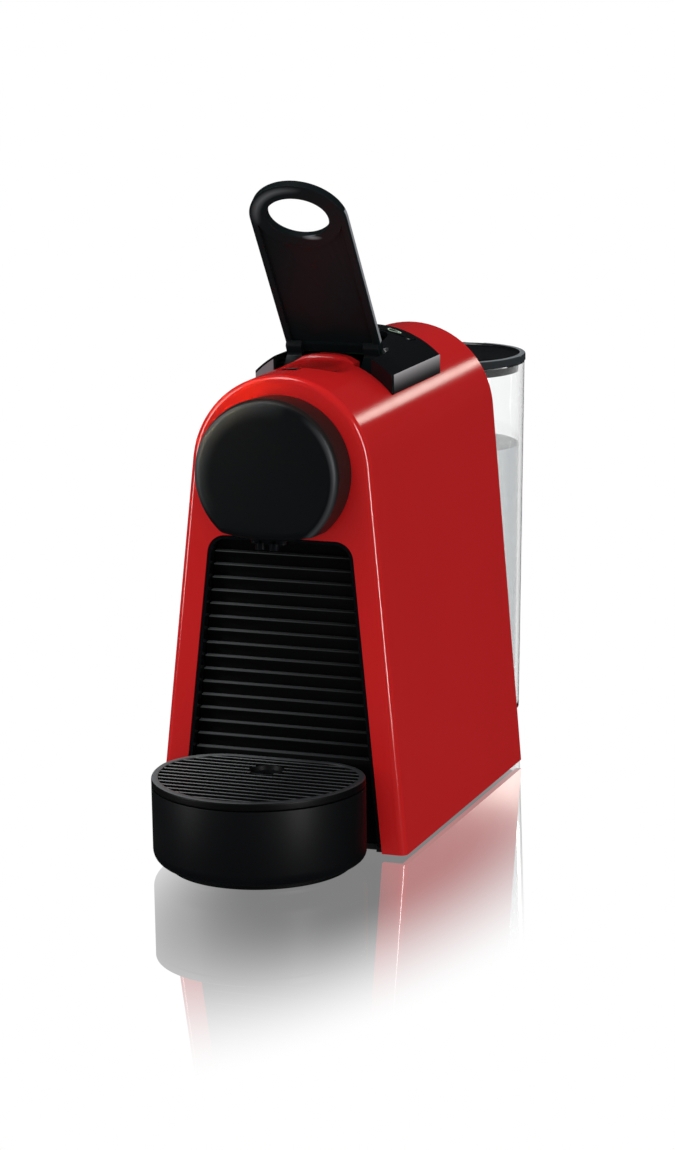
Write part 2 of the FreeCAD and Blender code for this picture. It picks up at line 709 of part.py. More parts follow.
def crank_arms():
    """A crank on each end of the shaft; its pin works in the carriage's yoke."""
    radius, half_turn = crank_point()
    pin_y = PIVOT_Y - radius * math.sin(half_turn)
    pin_z = PIVOT_Z - radius * math.cos(half_turn)
    x0, x1 = CRANK_X
    along = Vector(0, pin_y - PIVOT_Y, pin_z - PIVOT_Z).normalize()
    side = Vector(0, -along.z, along.y)
    hub, tip = Vector(x0, PIVOT_Y, PIVOT_Z), Vector(x0, pin_y, pin_z)
    points = [hub + side * 3.6, tip + side * 3.2, tip - side * 3.2, hub - side * 3.6]
    bar = Part.Face(Part.makePolygon(points + [points[0]])).extrude(Vector(x1 - x0, 0, 0))
    arm = fuse([bar, rod_x(3.6, x0, x1, PIVOT_Y, PIVOT_Z), rod_x(3.2, x0, x1, pin_y, pin_z),
                rod_x(PIN_R, x0, YOKE_X[1] + 0.2, pin_y, pin_z)])
    return both_sides(cut(arm, rod_x(SHAFT_R, -40, 40, PIVOT_Y, PIVOT_Z)))


# ---- brewing ---------------------------------------------------------------------------------
FRAME_X = (26.9, 28.7)      # side walls of the frame
FRAME_Y = (15.3, 142.0)
FRAME_Z = (128.0, 176.0)


def brew_frame():
    """Rigid frame that carries the shaft, the carriage and the brewing bell."""
    inner, outer = FRAME_X
    frame = cut(box((-outer, outer), FRAME_Y, FRAME_Z),
                box((-inner, inner), (FRAME_Y[0] + 1.8, FRAME_Y[1] - 3), (100, 200)))
    windows = fuse([box((-40, 40), (24, 44), (138, 166)), box((-40, 40), (86, 124), (146, 168))])
    duct = rod_y(6.4, 0, 30, 0, DUCT_Z)
    pipe = rod_y(4.0, 130, 160, 0, BREW_Z)
    frame = cut(frame, windows, duct, pipe)
    added = []
    for side in (-1, 1):
        ear_x = sorted((side * (YOKE_X[0] + 0.1), side * (YOKE_X[1] + 0.1)))
        wide_x = sorted((side * (YOKE_X[0] + 0.1), side * outer))
        rail_x = sorted((side * 23.8, side * (inner + 0.5)))
        added.append(prism_x([(60.4, 170, 0), (80, 170, 0), (68.6, 188.4, 3.6), (60.4, 188.4, 3.4)],
                             *ear_x))
        added.append(box(wide_x, (60.4, 80), (170, 172.5)))
        added.append(box(rail_x, (FRAME_Y[0] + 1, 139), (138.6, 141.6)))
    holes = rod_x(SHAFT_R + RUN_GAP, -40, 40, PIVOT_Y, PIVOT_Z)
    return cut(fuse([frame] + added), holes)


def coffee_sleeve():
    """Fixed outer tube of the telescoping coffee duct."""
    return cut(rod_y(6.2, 12.6, 58, 0, DUCT_Z), rod_y(4.7, 10, 60, 0, DUCT_Z))


def brew_carriage():
    """Moving front half of the brewing chamber: plate, flange rails, yoke arms and shutter."""
    y0, y1 = 72.6, 77.0
    back = 83.6
    plate = rod_y(20.4, y0, y1, 0, BREW_Z).common(box((-FAR, FAR), (0, FAR), (137, 200)))
    rails, arms = [], []
    groove = box((-19.0, 19.0), (78.2, 82.0), (146.5, 200))
    radius, half_turn = crank_point()
    pin_y = PIVOT_Y - radius * math.sin(half_turn)
    low_z = PIVOT_Z - radius
    high_z = PIVOT_Z - radius * math.cos(half_turn)
    reach = PIN_R + PIN_PLAY
    for side in (-1, 1):
        rails.append(box(sorted((side * 17.0, side * 21.4)), (y0, back), (144, 187.0)))
        rails.append(box(sorted((side * 21.4, side * YOKE_X[0])), (y0, back), (146, 164)))
        x0, x1 = sorted((side * YOKE_X[0], side * YOKE_X[1]))
        arm = prism_x([(pin_y - 6, 142, 3), (back, 142, 0), (back, 164, 0), (pin_y - 6, 164, 4)],
                      x0, x1)
        slot = prism_x([(pin_y - reach, low_z - reach, 2.4), (pin_y + reach, low_z - reach, 2.4),
                        (pin_y + reach, high_z + reach, 2.4), (pin_y - reach, high_z + reach, 2.4)],
                       x0 - 1, x1 + 1)
        arms.append(cut(arm, slot))
    post = box((-13, 13), (y0, y1), (170, 188.7))
    shutter = box((-13, 13), (47.4, y1), (187.5, 188.7))
    nozzle = rod_y(4.3, 24, y0 + 0.5, 0, DUCT_Z)
    body = fuse([plate, post, shutter, nozzle] + rails + arms)
    bore = rod_y(2.8, 20, y0 + 2, 0, DUCT_Z)
    well = rod_y(12, y1 - 2.0, y1 + 0.1, 0, BREW_Z)
    return cut(body, groove, bore, well)


def piercing_plate():
    """Steel plate with rows of small pyramids that tear the capsule's foil."""
    disc = rod_y(15.6, 77.05, 77.7, 0, BREW_Z)
    studs = []
    pitch = 4.6
    for i in range(-2, 3):
        for j in range(-2, 3):
            if abs(i) + abs(j) > 3:
                continue
            x, z = i * pitch, BREW_Z + j * pitch
            base = [Vector(x - 1.2, 77.6, z - 1.2), Vector(x + 1.2, 77.6, z - 1.2),
                    Vector(x + 1.2, 77.6, z + 1.2), Vector(x - 1.2, 77.6, z + 1.2)]
            tip = Vector(x, 79.0, z)
            faces = [Part.Face(Part.makePolygon(base + [base[0]]))]
            for k in range(4):
                corner = [base[k], base[(k + 1) % 4], tip]
                faces.append(Part.Face(Part.makePolygon(corner + [corner[0]])))
            studs.append(Part.Solid(Part.Shell(faces)))
    return fuse([disc] + studs)


BELL_Y = 109.6              # mouth of the bell


def brew_bell():
    """Fixed bell that closes over the capsule; hot water enters at its back."""
    bell = turned([(15.4, 0), (16.5, 0), (16.5, 3.6), (18.4, 3.6), (18.4, 8.0), (16.9, 9.5),
                   (14.6, 29.3), (3.2, 29.3), (3.2, 27.0), (12.2, 27.0)],
                  Vector(0, BELL_Y, BREW_Z), Vector(0, 1, 0))
    feet = []
    for x0, x1 in ((-26.8, -14), (14, 26.8)):
        feet.append(box((x0, x1), (128, 134), (BREW_Z - 3, BREW_Z + 3)))
    bore = turned([(0, -1), (15.4, -1), (15.4, 0), (12.2, 27.0), (0, 27.0)],
                  Vector(0, BELL_Y, BREW_Z), Vector(0, 1, 0))
    return cut(fuse([bell] + feet), bore)


def bell_seal():
    return turned([(15.5, -1.9), (16.4, -1.9), (16.4, -0.05), (15.5, -0.05)],
                  Vector(0, BELL_Y, BREW_Z), Vector(0, 1, 0))


def bell_needles():
    needles = []
    for k in range(3):
        angle = math.radians(90 + 120 * k)
        x, z = 7.5 * math.cos(angle), BREW_Z + 7.5 * math.sin(angle)
        needles.append(Part.makeCone(1.3, 0.15, 5.0, Vector(x, 136.55, z), Vector(0, -1, 0)))
    return needles


# ---- water circuit ---------------------------------------------------------------------------
PUMP_X, PUMP_Y = -24.0, 132.0
PUMP_Z = (30, 80)           # iron frame
PUMP_TOP = 104
BLOCK_X = (4, 40)
BLOCK_Y = (122, 150)
BLOCK_Z = (34, 112)
INLET_PORT = (16, 132)      # ports on top of the block
OUTLET_PORT = (9, 145)
PORT_TOP = 119
METER_Y = (166, 178)
METER_Z = 30
FEED_Z = 24                 # height of the hose from the flow meter to the pump


def pump():
    """Vibration pump standing on end: coil in an iron frame, inlet below, outlet on top."""
    low, high = PUMP_Z
    coil = rod_z(16.5, low + 4, high - 4, PUMP_X, PUMP_Y)
    sides, depth = (PUMP_X - 17.5, PUMP_X + 17.5), (PUMP_Y - 11, PUMP_Y + 11)
    frame = cut(box(sides, depth, PUMP_Z),
                box((sides[0] + 2, sides[1] - 2), (PUMP_Y - 30, PUMP_Y + 30), (low + 3, high - 3)))
    ties = [rod_z(5, low, low + 5, PUMP_X, PUMP_Y), rod_z(7, high - 5, high, PUMP_X, PUMP_Y)]
    inlet = rod_z(5, 17, low + 1, PUMP_X, PUMP_Y)
    elbow = rod_x(2.4, PUMP_X, PUMP_X + 8, PUMP_Y, FEED_Z)
    outlet = turned([(0, high - 1), (7, high - 1), (7, 92), (4, 95), (4, PUMP_TOP), (0, PUMP_TOP)],
                    Vector(PUMP_X, PUMP_Y, 0), Vector(0, 0, 1))
    return fuse([coil, frame, inlet, elbow, outlet] + ties)


def pump_mounts():
    low = cut(rod_z(9, 5, 16.9, PUMP_X, PUMP_Y), rod_z(5.2, 12, 17, PUMP_X, PUMP_Y))
    ring = cut(rod_z(11, 83, 89, PUMP_X, PUMP_Y), rod_z(7.1, 80, 90, PUMP_X, PUMP_Y))
    return [low, ring]


def thermoblock():
    """Cast heating block with cooling ribs, two ports on top and two pegs underneath."""
    block = box(BLOCK_X, BLOCK_Y, BLOCK_Z)
    grooves = []
    for i in range(7):
        z = BLOCK_Z[0] + 8 + 10 * i
        grooves.append(box((BLOCK_X[0] - 1, BLOCK_X[1] + 1), (BLOCK_Y[1] - 4, BLOCK_Y[1] + 1),
                           (z, z + 4)))
    ports = [rod_z(4, BLOCK_Z[1] - 0.5, PORT_TOP, *place) for place in (INLET_PORT, OUTLET_PORT)]
    pegs = [rod_z(3, 4.6, BLOCK_Z[0] + 0.5, 30, y) for y in (127, 144)]
    return fuse([cut(block, *grooves)] + ports + pegs)


def flow_meter():
    """Round meter inside the column, with a stem from the tank's outlet and a port forward."""
    y0, y1 = METER_Y
    return fuse([rod_y(11, y0, y1, 0, METER_Z), rod_z(3, 6.5, METER_Z, 0, (y0 + y1) / 2),
                 rod_y(3, y0 - 8, y0 + 1, 0, FEED_Z)])


def supply_hose():
    """Hose from the flow meter to the pump's inlet."""
    start = Vector(0, METER_Y[0] - 8.05, FEED_Z)
    end = Vector(PUMP_X + 8.05, PUMP_Y, FEED_Z)
    return hose([start, Vector(0, PUMP_Y, FEED_Z), end], 2.6)


def pressure_hose():
    """Hose from the pump's outlet to the heating block."""
    over = PORT_TOP + 4.5
    x, y = INLET_PORT
    return hose([Vector(PUMP_X, PUMP_Y, PUMP_TOP + 0.05), Vector(PUMP_X, PUMP_Y, over),
                 Vector(x, y, over), Vector(x, y, PORT_TOP + 0.05)], 2.0)


def hot_pipe():
    """Pipe from the heating block up behind the frame and forward into the bell."""
    x, y = OUTLET_PORT
    behind = FRAME_Y[1] + 8.0
    return hose([Vector(x, y, PORT_TOP + 0.05), Vector(x, y, PORT_TOP + 6), Vector(0, behind, BREW_Z),
                 Vector(0, BELL_Y + 29.6, BREW_Z)], 2.0)


# ---- drawer and tray -------------------------------------------------------------------------
def container_front():
    """Drawer front: level shelves over faces that fall away, and a plain foot behind the tray."""
    crest = RIB_DEPTH
    def wall(offset, z):
        return (front_y(z) + offset, z)
    points = [wall(crest + 4.6, 126.9), wall(crest, 126.9)]
    for k in range(RIB_COUNT):
        z = RIB_TOP - RIB_PITCH * k
        points.append(wall(crest + RIB_LEDGE, z + RIB_FALL))
        points.append(wall(crest, z))
    foot_y = TRAY_Y + TRAY_CORNER + 0.8
    knee = wall(crest + 4.6, 40)
    points.extend([(foot_y, 35.0), (foot_y, 5.0), (knee[0], 5.0), knee])
    panel = prism_x(sharp(points), -60, 60)
    panel = panel.common(recess_prism(2.1, 0, 126.9, -5, 30))
    hooks = []
    for side in (-1, 1):
        hooks.append(box((side * 12 - 3, side * 12 + 3), (foot_y - 3.2, foot_y + 0.5), (24, 28)))
    return fuse([panel] + hooks)


def behind_drawer_front(offset):
    """Everything behind the back of the drawer front."""
    depth = RIB_DEPTH + 4.6 + offset
    low = front_y(40) + depth
    points = [(low, -10), (low, 40), (front_y(200) + depth, 200), (FAR, 200), (FAR, -10)]
    return prism_x(sharp(points), -FAR, FAR)


def capsule_container():
    """Tapered bin for used capsules, open on top, hooked behind the drawer front."""
    def shape(inset, z0, z1, y0, y1):
        low = 40.6 - RECESS_LEAN * z0 - inset
        high = 40.6 - RECESS_LEAN * z1 - inset
        return prism_y([(-low, z0, 3), (low, z0, 3), (high, z1, 0), (-high, z1, 0)], y0, y1)
    outer = shape(0, 5.2, DRAWER_TOP, 4, DRAWER_BACK)
    outer = outer.common(behind_drawer_front(0.1))
    inner = shape(1.6, 6.8, DRAWER_TOP + 5, 0, DRAWER_BACK - 1.6)
    return cut(outer, inner.common(behind_drawer_front(1.7)))


def drip_tray():
    """Tub with a rounded foot, a smaller foot ring, and two rear notches for the hooks."""
    tub = tray_plan(0, TRAY_Z[0], TRAY_Z[1])
    tub = tub.makeFillet(5.8, level_edges(tub, TRAY_Z[0]))
    tub = cut(tub, tray_plan(1.7, TRAY_Z[0] + 7.0, TRAY_Z[1] + 1),
              tray_plan(6.5, TRAY_Z[0] + 1.8, TRAY_Z[1] + 1))
    ring = cut(tray_plan(6.4, 0.4, TRAY_Z[0] + 0.4), tray_plan(8.4, 0, TRAY_Z[0]))
    notches = []
    rear = TRAY_Y + TRAY_CORNER
    for side in (-1, 1):
        notches.append(box((side * 12 - 3.4, side * 12 + 3.4), (rear - 2.7, rear + 1), (23.6, 28.4)))
    return cut(fuse([tub, ring]), *notches)


GRID_BARS = 17
DRAIN_Y = -12.9
DRAIN_R = 7.3


def drip_grid():
    """Rim with thin cross bars, a spine underneath and a round drain cup."""
    z0, z1 = GRID_Z
    rim = tray_plan(0, z0, z1)
    rim = rim.makeChamfer(0.7, level_edges(rim, z1))
    rim = cut(rim, tray_plan(2.8, z0 - 1, z1 + 1))
    inside = tray_plan(2.6, z0, z1)
    first, last = TRAY_Y - TRAY_R + 5.6, TRAY_Y + TRAY_CORNER - 5.0
    pitch = (last - first) / (GRID_BARS - 1)
    bars = []
    for k in range(GRID_BARS):
        y = first + pitch * k
        bars.append(box((-60, 60), (y - 0.85, y + 0.85), (z1 - 2.2, z1 - 0.5)).common(inside))
    spine = box((-1.2, 1.2), (TRAY_Y - TRAY_R + 2, TRAY_Y + TRAY_CORNER - 2), (z0, z1 - 1.6))
    grid = fuse([rim, spine] + bars)
    grid = cut(grid, rod_z(DRAIN_R, z0 - 1, z1 + 1, 0, DRAIN_Y))
    cup = turned([(DRAIN_R - 1.3, z0), (DRAIN_R + 0.2, z0), (DRAIN_R + 0.2, z1 - 0.5),
                  (DRAIN_R - 1.3, z1 - 1.3)], Vector(0, DRAIN_Y, 0), Vector(0, 0, 1))
    floor = cut(rod_z(DRAIN_R - 1.0, z0, z0 + 0.9, 0, DRAIN_Y), rod_z(2.6, 0, 60, 0, DRAIN_Y))
    return fuse([grid, cup, floor])


# ---- water tank ------------------------------------------------------------------------------
def tank_radius(z):
    low, high = TANK_Z
    return TANK_FOOT_R + (TANK_RIM_R - TANK_FOOT_R) * (z - low) / (high - low)


def water_tank():
    """Clear tapered tank with a raised floor and a valve seat in the middle."""
    low, high = TANK_Z
    wall = 1.8
    profile = [(26.2, low), (TANK_FOOT_R - 1.2, low), (tank_radius(low + 1.5), low + 1.5),
               (TANK_RIM_R, high), (TANK_RIM_R - wall, high),
               (tank_radius(low + 5.0) - wall, low + 5.0), (8.4, low + 5.0), (8.4, low + 13.0),
               (7.0, low + 13.0), (5.1, low + 12.4), (5.1, low + 2.9), (25.2, low + 2.9)]
    return turned(profile, Vector(0, TANK_Y, 0), Vector(0, 0, 1))


def tank_lid():
    """Lid with a raised rim, a sunk top, a locating skirt and a small rear notch."""
    top = LID_TOP
    skirt = TANK_RIM_R - 2.5
    profile = [(0, top - 2.4), (0, top - 1.0), (LID_R - 3.4, top - 1.0), (LID_R - 2.8, top),
               (LID_R - 0.5, top), (LID_R, top - 0.5), (LID_R, top - 3.4), (skirt, top - 3.4),
               (skirt - 0.3, top - 8.0), (skirt - 1.9, top - 8.0), (skirt - 1.9, top - 2.4)]
    lid = turned(profile, Vector(0, TANK_Y, 0), Vector(0, 0, 1))
    notch = box((-4.5, 4.5), (TANK_Y + LID_R - 1.6, TANK_Y + LID_R + 1), (top - 1.2, top + 1))
    return cut(lid, notch)


def tank_valve():
    """Mushroom plunger that closes the tank's outlet when the tank is lifted off."""
    low = TANK_Z[0]
    return turned([(0, low + 7.4), (1.3, low + 7.4), (1.3, low + 14.2), (5.9, low + 14.2),
                   (6.6, low + 15.1), (6.6, low + 16.3), (0, low + 16.3)],
                  Vector(0, TANK_Y, 0), Vector(0, 0, 1))


# ---- build -----------------------------------------------------------------------------------
def main():
    export("outer_shell", outer_shell())
    export("latch_socket", latch_socket())
    export("base_plate", base_plate())
    export("base_screws", *base_screws())
    export("rubber_feet", *rubber_feet())
    export("rear_panel", rear_panel())
    export("power_gland", power_gland())
    export("tank_cradle", tank_cradle())
    export("inlet_spigot", inlet_spigot())
    export("inlet_seal", inlet_seal())
    export("front_liner", front_liner())
    export("head_collar", head_collar())
    export("head_cap", head_cap())
    export("coffee_spout", coffee_spout())
    export("button_band", button_band())
    export("capsule_guides", *guide_seats(0))
    export("key_espresso", key_cap(-1))
    export("key_lungo", key_cap(1))
    export("control_board", control_board())
    export("key_switches", *key_switches())
    export("lever", lever())
    export("lever_shaft", lever_shaft())
    export("crank_arms", *crank_arms())
    export("brew_frame", brew_frame())
    export("coffee_sleeve", coffee_sleeve())
    export("brew_carriage", brew_carriage())
    export("piercing_plate", piercing_plate())
    export("brew_bell", brew_bell())
    export("bell_seal", bell_seal())
    export("bell_needles", *bell_needles())
    export("pump", pump())
    export("pump_mounts", *pump_mounts())
    export("thermoblock", thermoblock())
    export("flow_meter", flow_meter())
    export("supply_hose", supply_hose())
    export("pressure_hose", pressure_hose())
    export("hot_pipe", hot_pipe())
    export("container_front", container_front())
    export("capsule_container", capsule_container())
    export("drip_tray", drip_tray())
    export("drip_grid", drip_grid())
    export("water_tank", water_tank())
    export("tank_lid", tank_lid())
    export("tank_valve", tank_valve())


main()
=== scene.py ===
"""Looks of a slim capsule espresso machine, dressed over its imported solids. Lengths are in metres."""
import json
import math

import bmesh
import bpy
from mathutils import Matrix, Vector


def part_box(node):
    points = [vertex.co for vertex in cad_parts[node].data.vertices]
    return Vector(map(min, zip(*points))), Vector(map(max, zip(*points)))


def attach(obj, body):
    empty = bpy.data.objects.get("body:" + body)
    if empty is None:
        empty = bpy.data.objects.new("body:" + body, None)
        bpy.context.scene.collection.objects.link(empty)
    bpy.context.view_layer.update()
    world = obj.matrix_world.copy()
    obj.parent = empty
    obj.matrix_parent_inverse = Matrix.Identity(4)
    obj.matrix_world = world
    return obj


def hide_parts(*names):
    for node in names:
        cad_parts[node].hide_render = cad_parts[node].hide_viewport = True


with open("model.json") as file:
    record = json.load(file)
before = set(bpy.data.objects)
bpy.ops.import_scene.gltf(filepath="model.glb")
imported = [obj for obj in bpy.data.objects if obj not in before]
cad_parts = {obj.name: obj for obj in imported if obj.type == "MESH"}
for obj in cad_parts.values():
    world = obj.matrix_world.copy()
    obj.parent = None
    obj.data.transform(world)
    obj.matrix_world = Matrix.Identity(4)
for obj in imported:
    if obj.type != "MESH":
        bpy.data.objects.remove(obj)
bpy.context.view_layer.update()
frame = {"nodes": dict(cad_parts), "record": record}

MM = 0.001
RECORD = frame["record"]
BODY_OF = {node: body for body, nodes in RECORD["behaviour"]["bodies"].items() for node in nodes}

ARCH_Z, ARCH_R = 156.3 * MM, 38.9 * MM      # axis and radius of the shell's arch, which runs along y
HEAD_Z = 156.6 * MM                         # axis of the round head
SADDLE_Z = 157.5 * MM                       # axis of the saddle's top and of the keys' faces
HINGE = next(joint for joint in RECORD["behaviour"]["joints"] if joint["name"] == "lever_hinge")
TANK_LOW, TANK_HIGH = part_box("water_tank")
TANK_AXIS = Vector(((TANK_LOW.x + TANK_HIGH.x) / 2, (TANK_LOW.y + TANK_HIGH.y) / 2, 0))
TRAY_LOW, TRAY_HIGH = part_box("drip_tray")
GRID_LOW, GRID_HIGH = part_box("drip_grid")


# ---- arithmetic on sockets, and one way to add a node -------------------------------------------
class Value:
    """A socket that joins in plain arithmetic: each operation adds its Math node."""

    def __init__(self, graph, socket):
        self.graph = graph
        self.socket = socket

    def math(self, operation, *terms):
        return self.graph.add("ShaderNodeMath", {"operation": operation}, dict(enumerate(terms)))

    def __add__(self, other):
        return self.math("ADD", self, other)

    __radd__ = __add__

    def __sub__(self, other):
        return self.math("SUBTRACT", self, other)

    def __rsub__(self, other):
        return self.math("SUBTRACT", other, self)

    def __mul__(self, other):
        return self.math("MULTIPLY", self, other)

    __rmul__ = __mul__

    def __truediv__(self, other):
        return self.math("DIVIDE", self, other)

    def __pow__(self, other):
        return self.math("POWER", self, other)

    def above(self, other):
        """1 where it is more than the other, 0 elsewhere."""
        return self.math("GREATER_THAN", self, other)

    def below(self, other):
        return self.math("LESS_THAN", self, other)

    def at_least(self, other):
        return self.math("MAXIMUM", self, other)

    def absolute(self):
        return self.math("ABSOLUTE", self)

    def fraction(self):
        return self.math("FRACT", self)

    def root(self):
        return self.math("SQRT", self)

    def near_zero(self, reach):
        """1 at zero, falling evenly to 0 at the reach on either side."""
        return (1.0 - self.absolute() / reach).at_least(0.0)

    def output(self, name):
        return Value(self.graph, self.socket.node.outputs[name])


class Graph:
    """A node tree being filled."""

    def __init__(self, tree):
        self.tree = tree

    def add(self, kind, settings=None, inputs=None, out=0):
        """Adds a node: first its settings, then the values or links of its sockets; a list is joined."""
        node = self.tree.nodes.new(kind)
        for name, value in (settings or {}).items():
            setattr(node, name, value)
        for name, value in (inputs or {}).items():
            socket = node.inputs[name]
            links = value if isinstance(value, list) else [value]
            if isinstance(links[0], Value):
                for link in links:
                    self.tree.links.new(link.socket, socket)
            else:
                socket.default_value = value
        return Value(self, node.outputs[out]) if node.outputs else node

    def noise(self, scale, detail=2.0, stretch=(1, 1, 1)):
        """Noise over the piece, with an average of about a half."""
        place = self.add("ShaderNodeTexCoord", out="Object")
        place = self.add("ShaderNodeMapping", inputs={"Vector": place, "Scale": stretch})
        return self.add("ShaderNodeTexNoise", inputs={"Vector": place, "Scale": scale, "Detail": detail})

    def place(self):
        """Where a point of the piece lies, as its x, y and z."""
        spot = self.add("ShaderNodeTexCoord", out="Object")
        x = self.add("ShaderNodeSeparateXYZ", inputs={"Vector": spot})
        return x, x.output("Y"), x.output("Z")

    def ramp(self, value, low, high):
        """Rises from 0 to 1 while the value goes from low to high."""
        return self.add("ShaderNodeMapRange", inputs={"Value": value, "From Min": low, "From Max": high})

    def blend(self, amount, first, second):
        """Colour between two colours."""
        return self.add("ShaderNodeMix", {"data_type": "RGBA"}, {0: amount, 6: first, 7: second}, out=2)

    def bump(self, height, depth):
        """Normal of a surface that rises by up to the depth."""
        return self.add("ShaderNodeBump", inputs={"Height": height, "Distance": depth, "Strength": 1.0})


def rgba(red, green, blue):
    return (red, green, blue, 1.0)


def distance(first, second):
    """Distance from an axis, out of two lengths at right angles to it."""
    return (first * first + second * second).root()


def finish(name, make):
    """Material whose Principled sockets are what make(graph) returns."""
    material = bpy.data.materials.new(name)
    material.use_nodes = True
    graph = Graph(material.node_tree)
    graph.tree.nodes.clear()
    surface = graph.add("ShaderNodeBsdfPrincipled", inputs=make(graph))
    graph.add("ShaderNodeOutputMaterial", inputs={"Surface": surface})
    return material


# ---- finishes ----------------------------------------------------------------------------------
def red_lacquer(graph):
    """Gloss red with a painted warm glow on the crown's upper left and painted shade deep in the crown's
    dish.
    """
    x, y, z = graph.place()
    # painted glow: a warmer, brighter red on the crown's upper left, standing for light that falls there
    painted_glow = graph.ramp(x, 8 * MM, -16 * MM) * graph.ramp(z, 158 * MM, 180 * MM)
    painted_glow = painted_glow * graph.ramp(y, -82 * MM, -90 * MM)
    # painted shade: the red darkens with depth inside the crown's scoop, standing for the shade in that
    # hollow
    scoop_front, scoop_rear, scoop_low = -66.3 * MM, -38 * MM, 184 * MM
    depth = ARCH_R - distance(x, z - ARCH_Z)
    scoop_shade = y.above(scoop_front) * y.below(scoop_rear) * z.above(scoop_low)
    scoop_shade = scoop_shade * graph.ramp(depth, 0.1 * MM, 2.3 * MM)
    red = graph.blend(graph.noise(14.0), rgba(0.60, 0.0125, 0.0135), rgba(0.64, 0.0150, 0.0155))
    # the painted glow's colour
    red = graph.blend(painted_glow, red, rgba(0.76, 0.017, 0.0070))
    return {
        "Base Color": graph.blend(scoop_shade, red, rgba(0.27, 0.008, 0.008)),
        "Roughness": 0.11 + 0.05 * graph.noise(60.0),
        "Normal": graph.bump(graph.noise(420.0, 1.0), 0.004 * MM),
    }


def piano_black(graph):
    black = graph.blend(graph.noise(30.0), rgba(0.0020, 0.0024, 0.0030), rgba(0.0034, 0.0040, 0.0050))
    return {
        "Base Color": black,
        "Roughness": 0.09 + 0.06 * graph.noise(90.0),
        "Normal": graph.bump(graph.noise(500.0, 1.0), 0.004 * MM),
    }


def saddle_black(graph):
    """Piano black that is rougher on its ends and its left front face, with a grey painted reflection there.
    """
    x, y, z = graph.place()
    # painted reflection: the ends and the left part of the front face take a grey standing for the light they
    # mirror
    end_x, end_front = 30.15 * MM, -36.2 * MM
    end = x.absolute().above(end_x) * y.above(end_front)
    left_x, front_y, top_r = -22.2 * MM, -38.45 * MM, 42.6 * MM
    front = x.below(left_x) * y.below(front_y) * distance(x, z - SADDLE_Z).below(top_r)
    # the painted reflection on the ends fades from grey at the top to near black at the foot
    end_low, end_high = 180.5 * MM, 188.6 * MM
    reflection_fade = graph.ramp(z, end_low, end_high) ** 2.0
    painted_reflection = graph.blend(reflection_fade, rgba(0.010, 0.010, 0.011), rgba(0.48, 0.46, 0.47))
    painted_reflection = graph.blend(front, painted_reflection, rgba(0.20, 0.21, 0.23))
    black = graph.blend(graph.noise(30.0), rgba(0.0034, 0.0042, 0.0050), rgba(0.0048, 0.0058, 0.0068))
    return {
        "Base Color": graph.blend(end + front, black, painted_reflection),
        "Roughness": 0.09 + 0.06 * graph.noise(90.0) + 0.25 * (end + front),
        "Normal": graph.bump(graph.noise(500.0, 1.0), 0.004 * MM),
        "Specular IOR Level": 0.3,
    }


def satin_black(graph):
    black = graph.blend(graph.noise(40.0), rgba(0.0022, 0.0026, 0.0032), rgba(0.0040, 0.0046, 0.0056))
    grain = graph.noise(2600.0, 1.0)
    return {
        "Base Color": black,
        "Roughness": 0.26 + 0.08 * grain,
        "Normal": graph.bump(grain, 0.010 * MM),
    }


def head_black(graph):
    """Moulded black with a painted soft highlight round the front edge, and a side wall painted warmer and
    paler for the red shell it reflects.
    """
    x, y, z = graph.place()
    rise = z - HEAD_Z
    out = distance(x, rise)
    front_edge = -104.6 * MM
    wall = y.above(front_edge)
    # painted highlight: a broad band at the upper left of the front edge and a thin band at its right
    flat_r, edge_r, band_r, band_half = 23.0 * MM, 30.6 * MM, 29.6 * MM, 1.5 * MM
    upper_left_highlight = graph.ramp((rise * 0.60 - x * 0.80) / out, 0.30, 0.95)     # by the angle round the axis
    upper_left_highlight = upper_left_highlight * graph.ramp(out, flat_r, edge_r) ** 1.6
    right = graph.ramp((x * 0.97 - rise * 0.24) / out, 0.30, 0.85) * (out - band_r).near_zero(band_half)
    painted_sheen = (1.0 - wall) * (0.9 * upper_left_highlight + 0.6 * right)
    black = graph.blend(graph.noise(35.0), rgba(0.0024, 0.0034, 0.0042), rgba(0.0036, 0.0048, 0.0058))
    # painted reflection: the side wall is warmer and paler, standing for the red shell it mirrors
    black = graph.blend(wall, black, rgba(0.016, 0.012, 0.011))
    grain = graph.noise(1900.0)
    return {
        "Base Color": graph.blend(painted_sheen, black, rgba(0.085, 0.092, 0.095)),
        "Roughness": 0.34 + 0.08 * grain,
        "Normal": graph.bump(grain, 0.010 * MM),
        "Specular IOR Level": 0.16,
    }


def lid_black(graph):
    """Black lid with a painted highlight on its rim, darker on the rim's side."""
    x, y, z = graph.place()
    out = distance(x, y - TANK_AXIS.y)
    rim_r, side_r = 31.0 * MM, 33.25 * MM
    # painted highlight: pale grey on the rim's top, a darker grey on its side
    pale = graph.blend(out.above(side_r), rgba(0.24, 0.26, 0.27), rgba(0.035, 0.040, 0.043))
    black = graph.blend(graph.noise(30.0), rgba(0.0030, 0.0038, 0.0045), rgba(0.0050, 0.0060, 0.0070))
    return {
        "Base Color": graph.blend(out.above(rim_r), black, pale),
        "Roughness": 0.16 + 0.06 * graph.noise(90.0),
        "Normal": graph.bump(graph.noise(500.0, 1.0), 0.004 * MM),
        "Specular IOR Level": 0.25,
    }


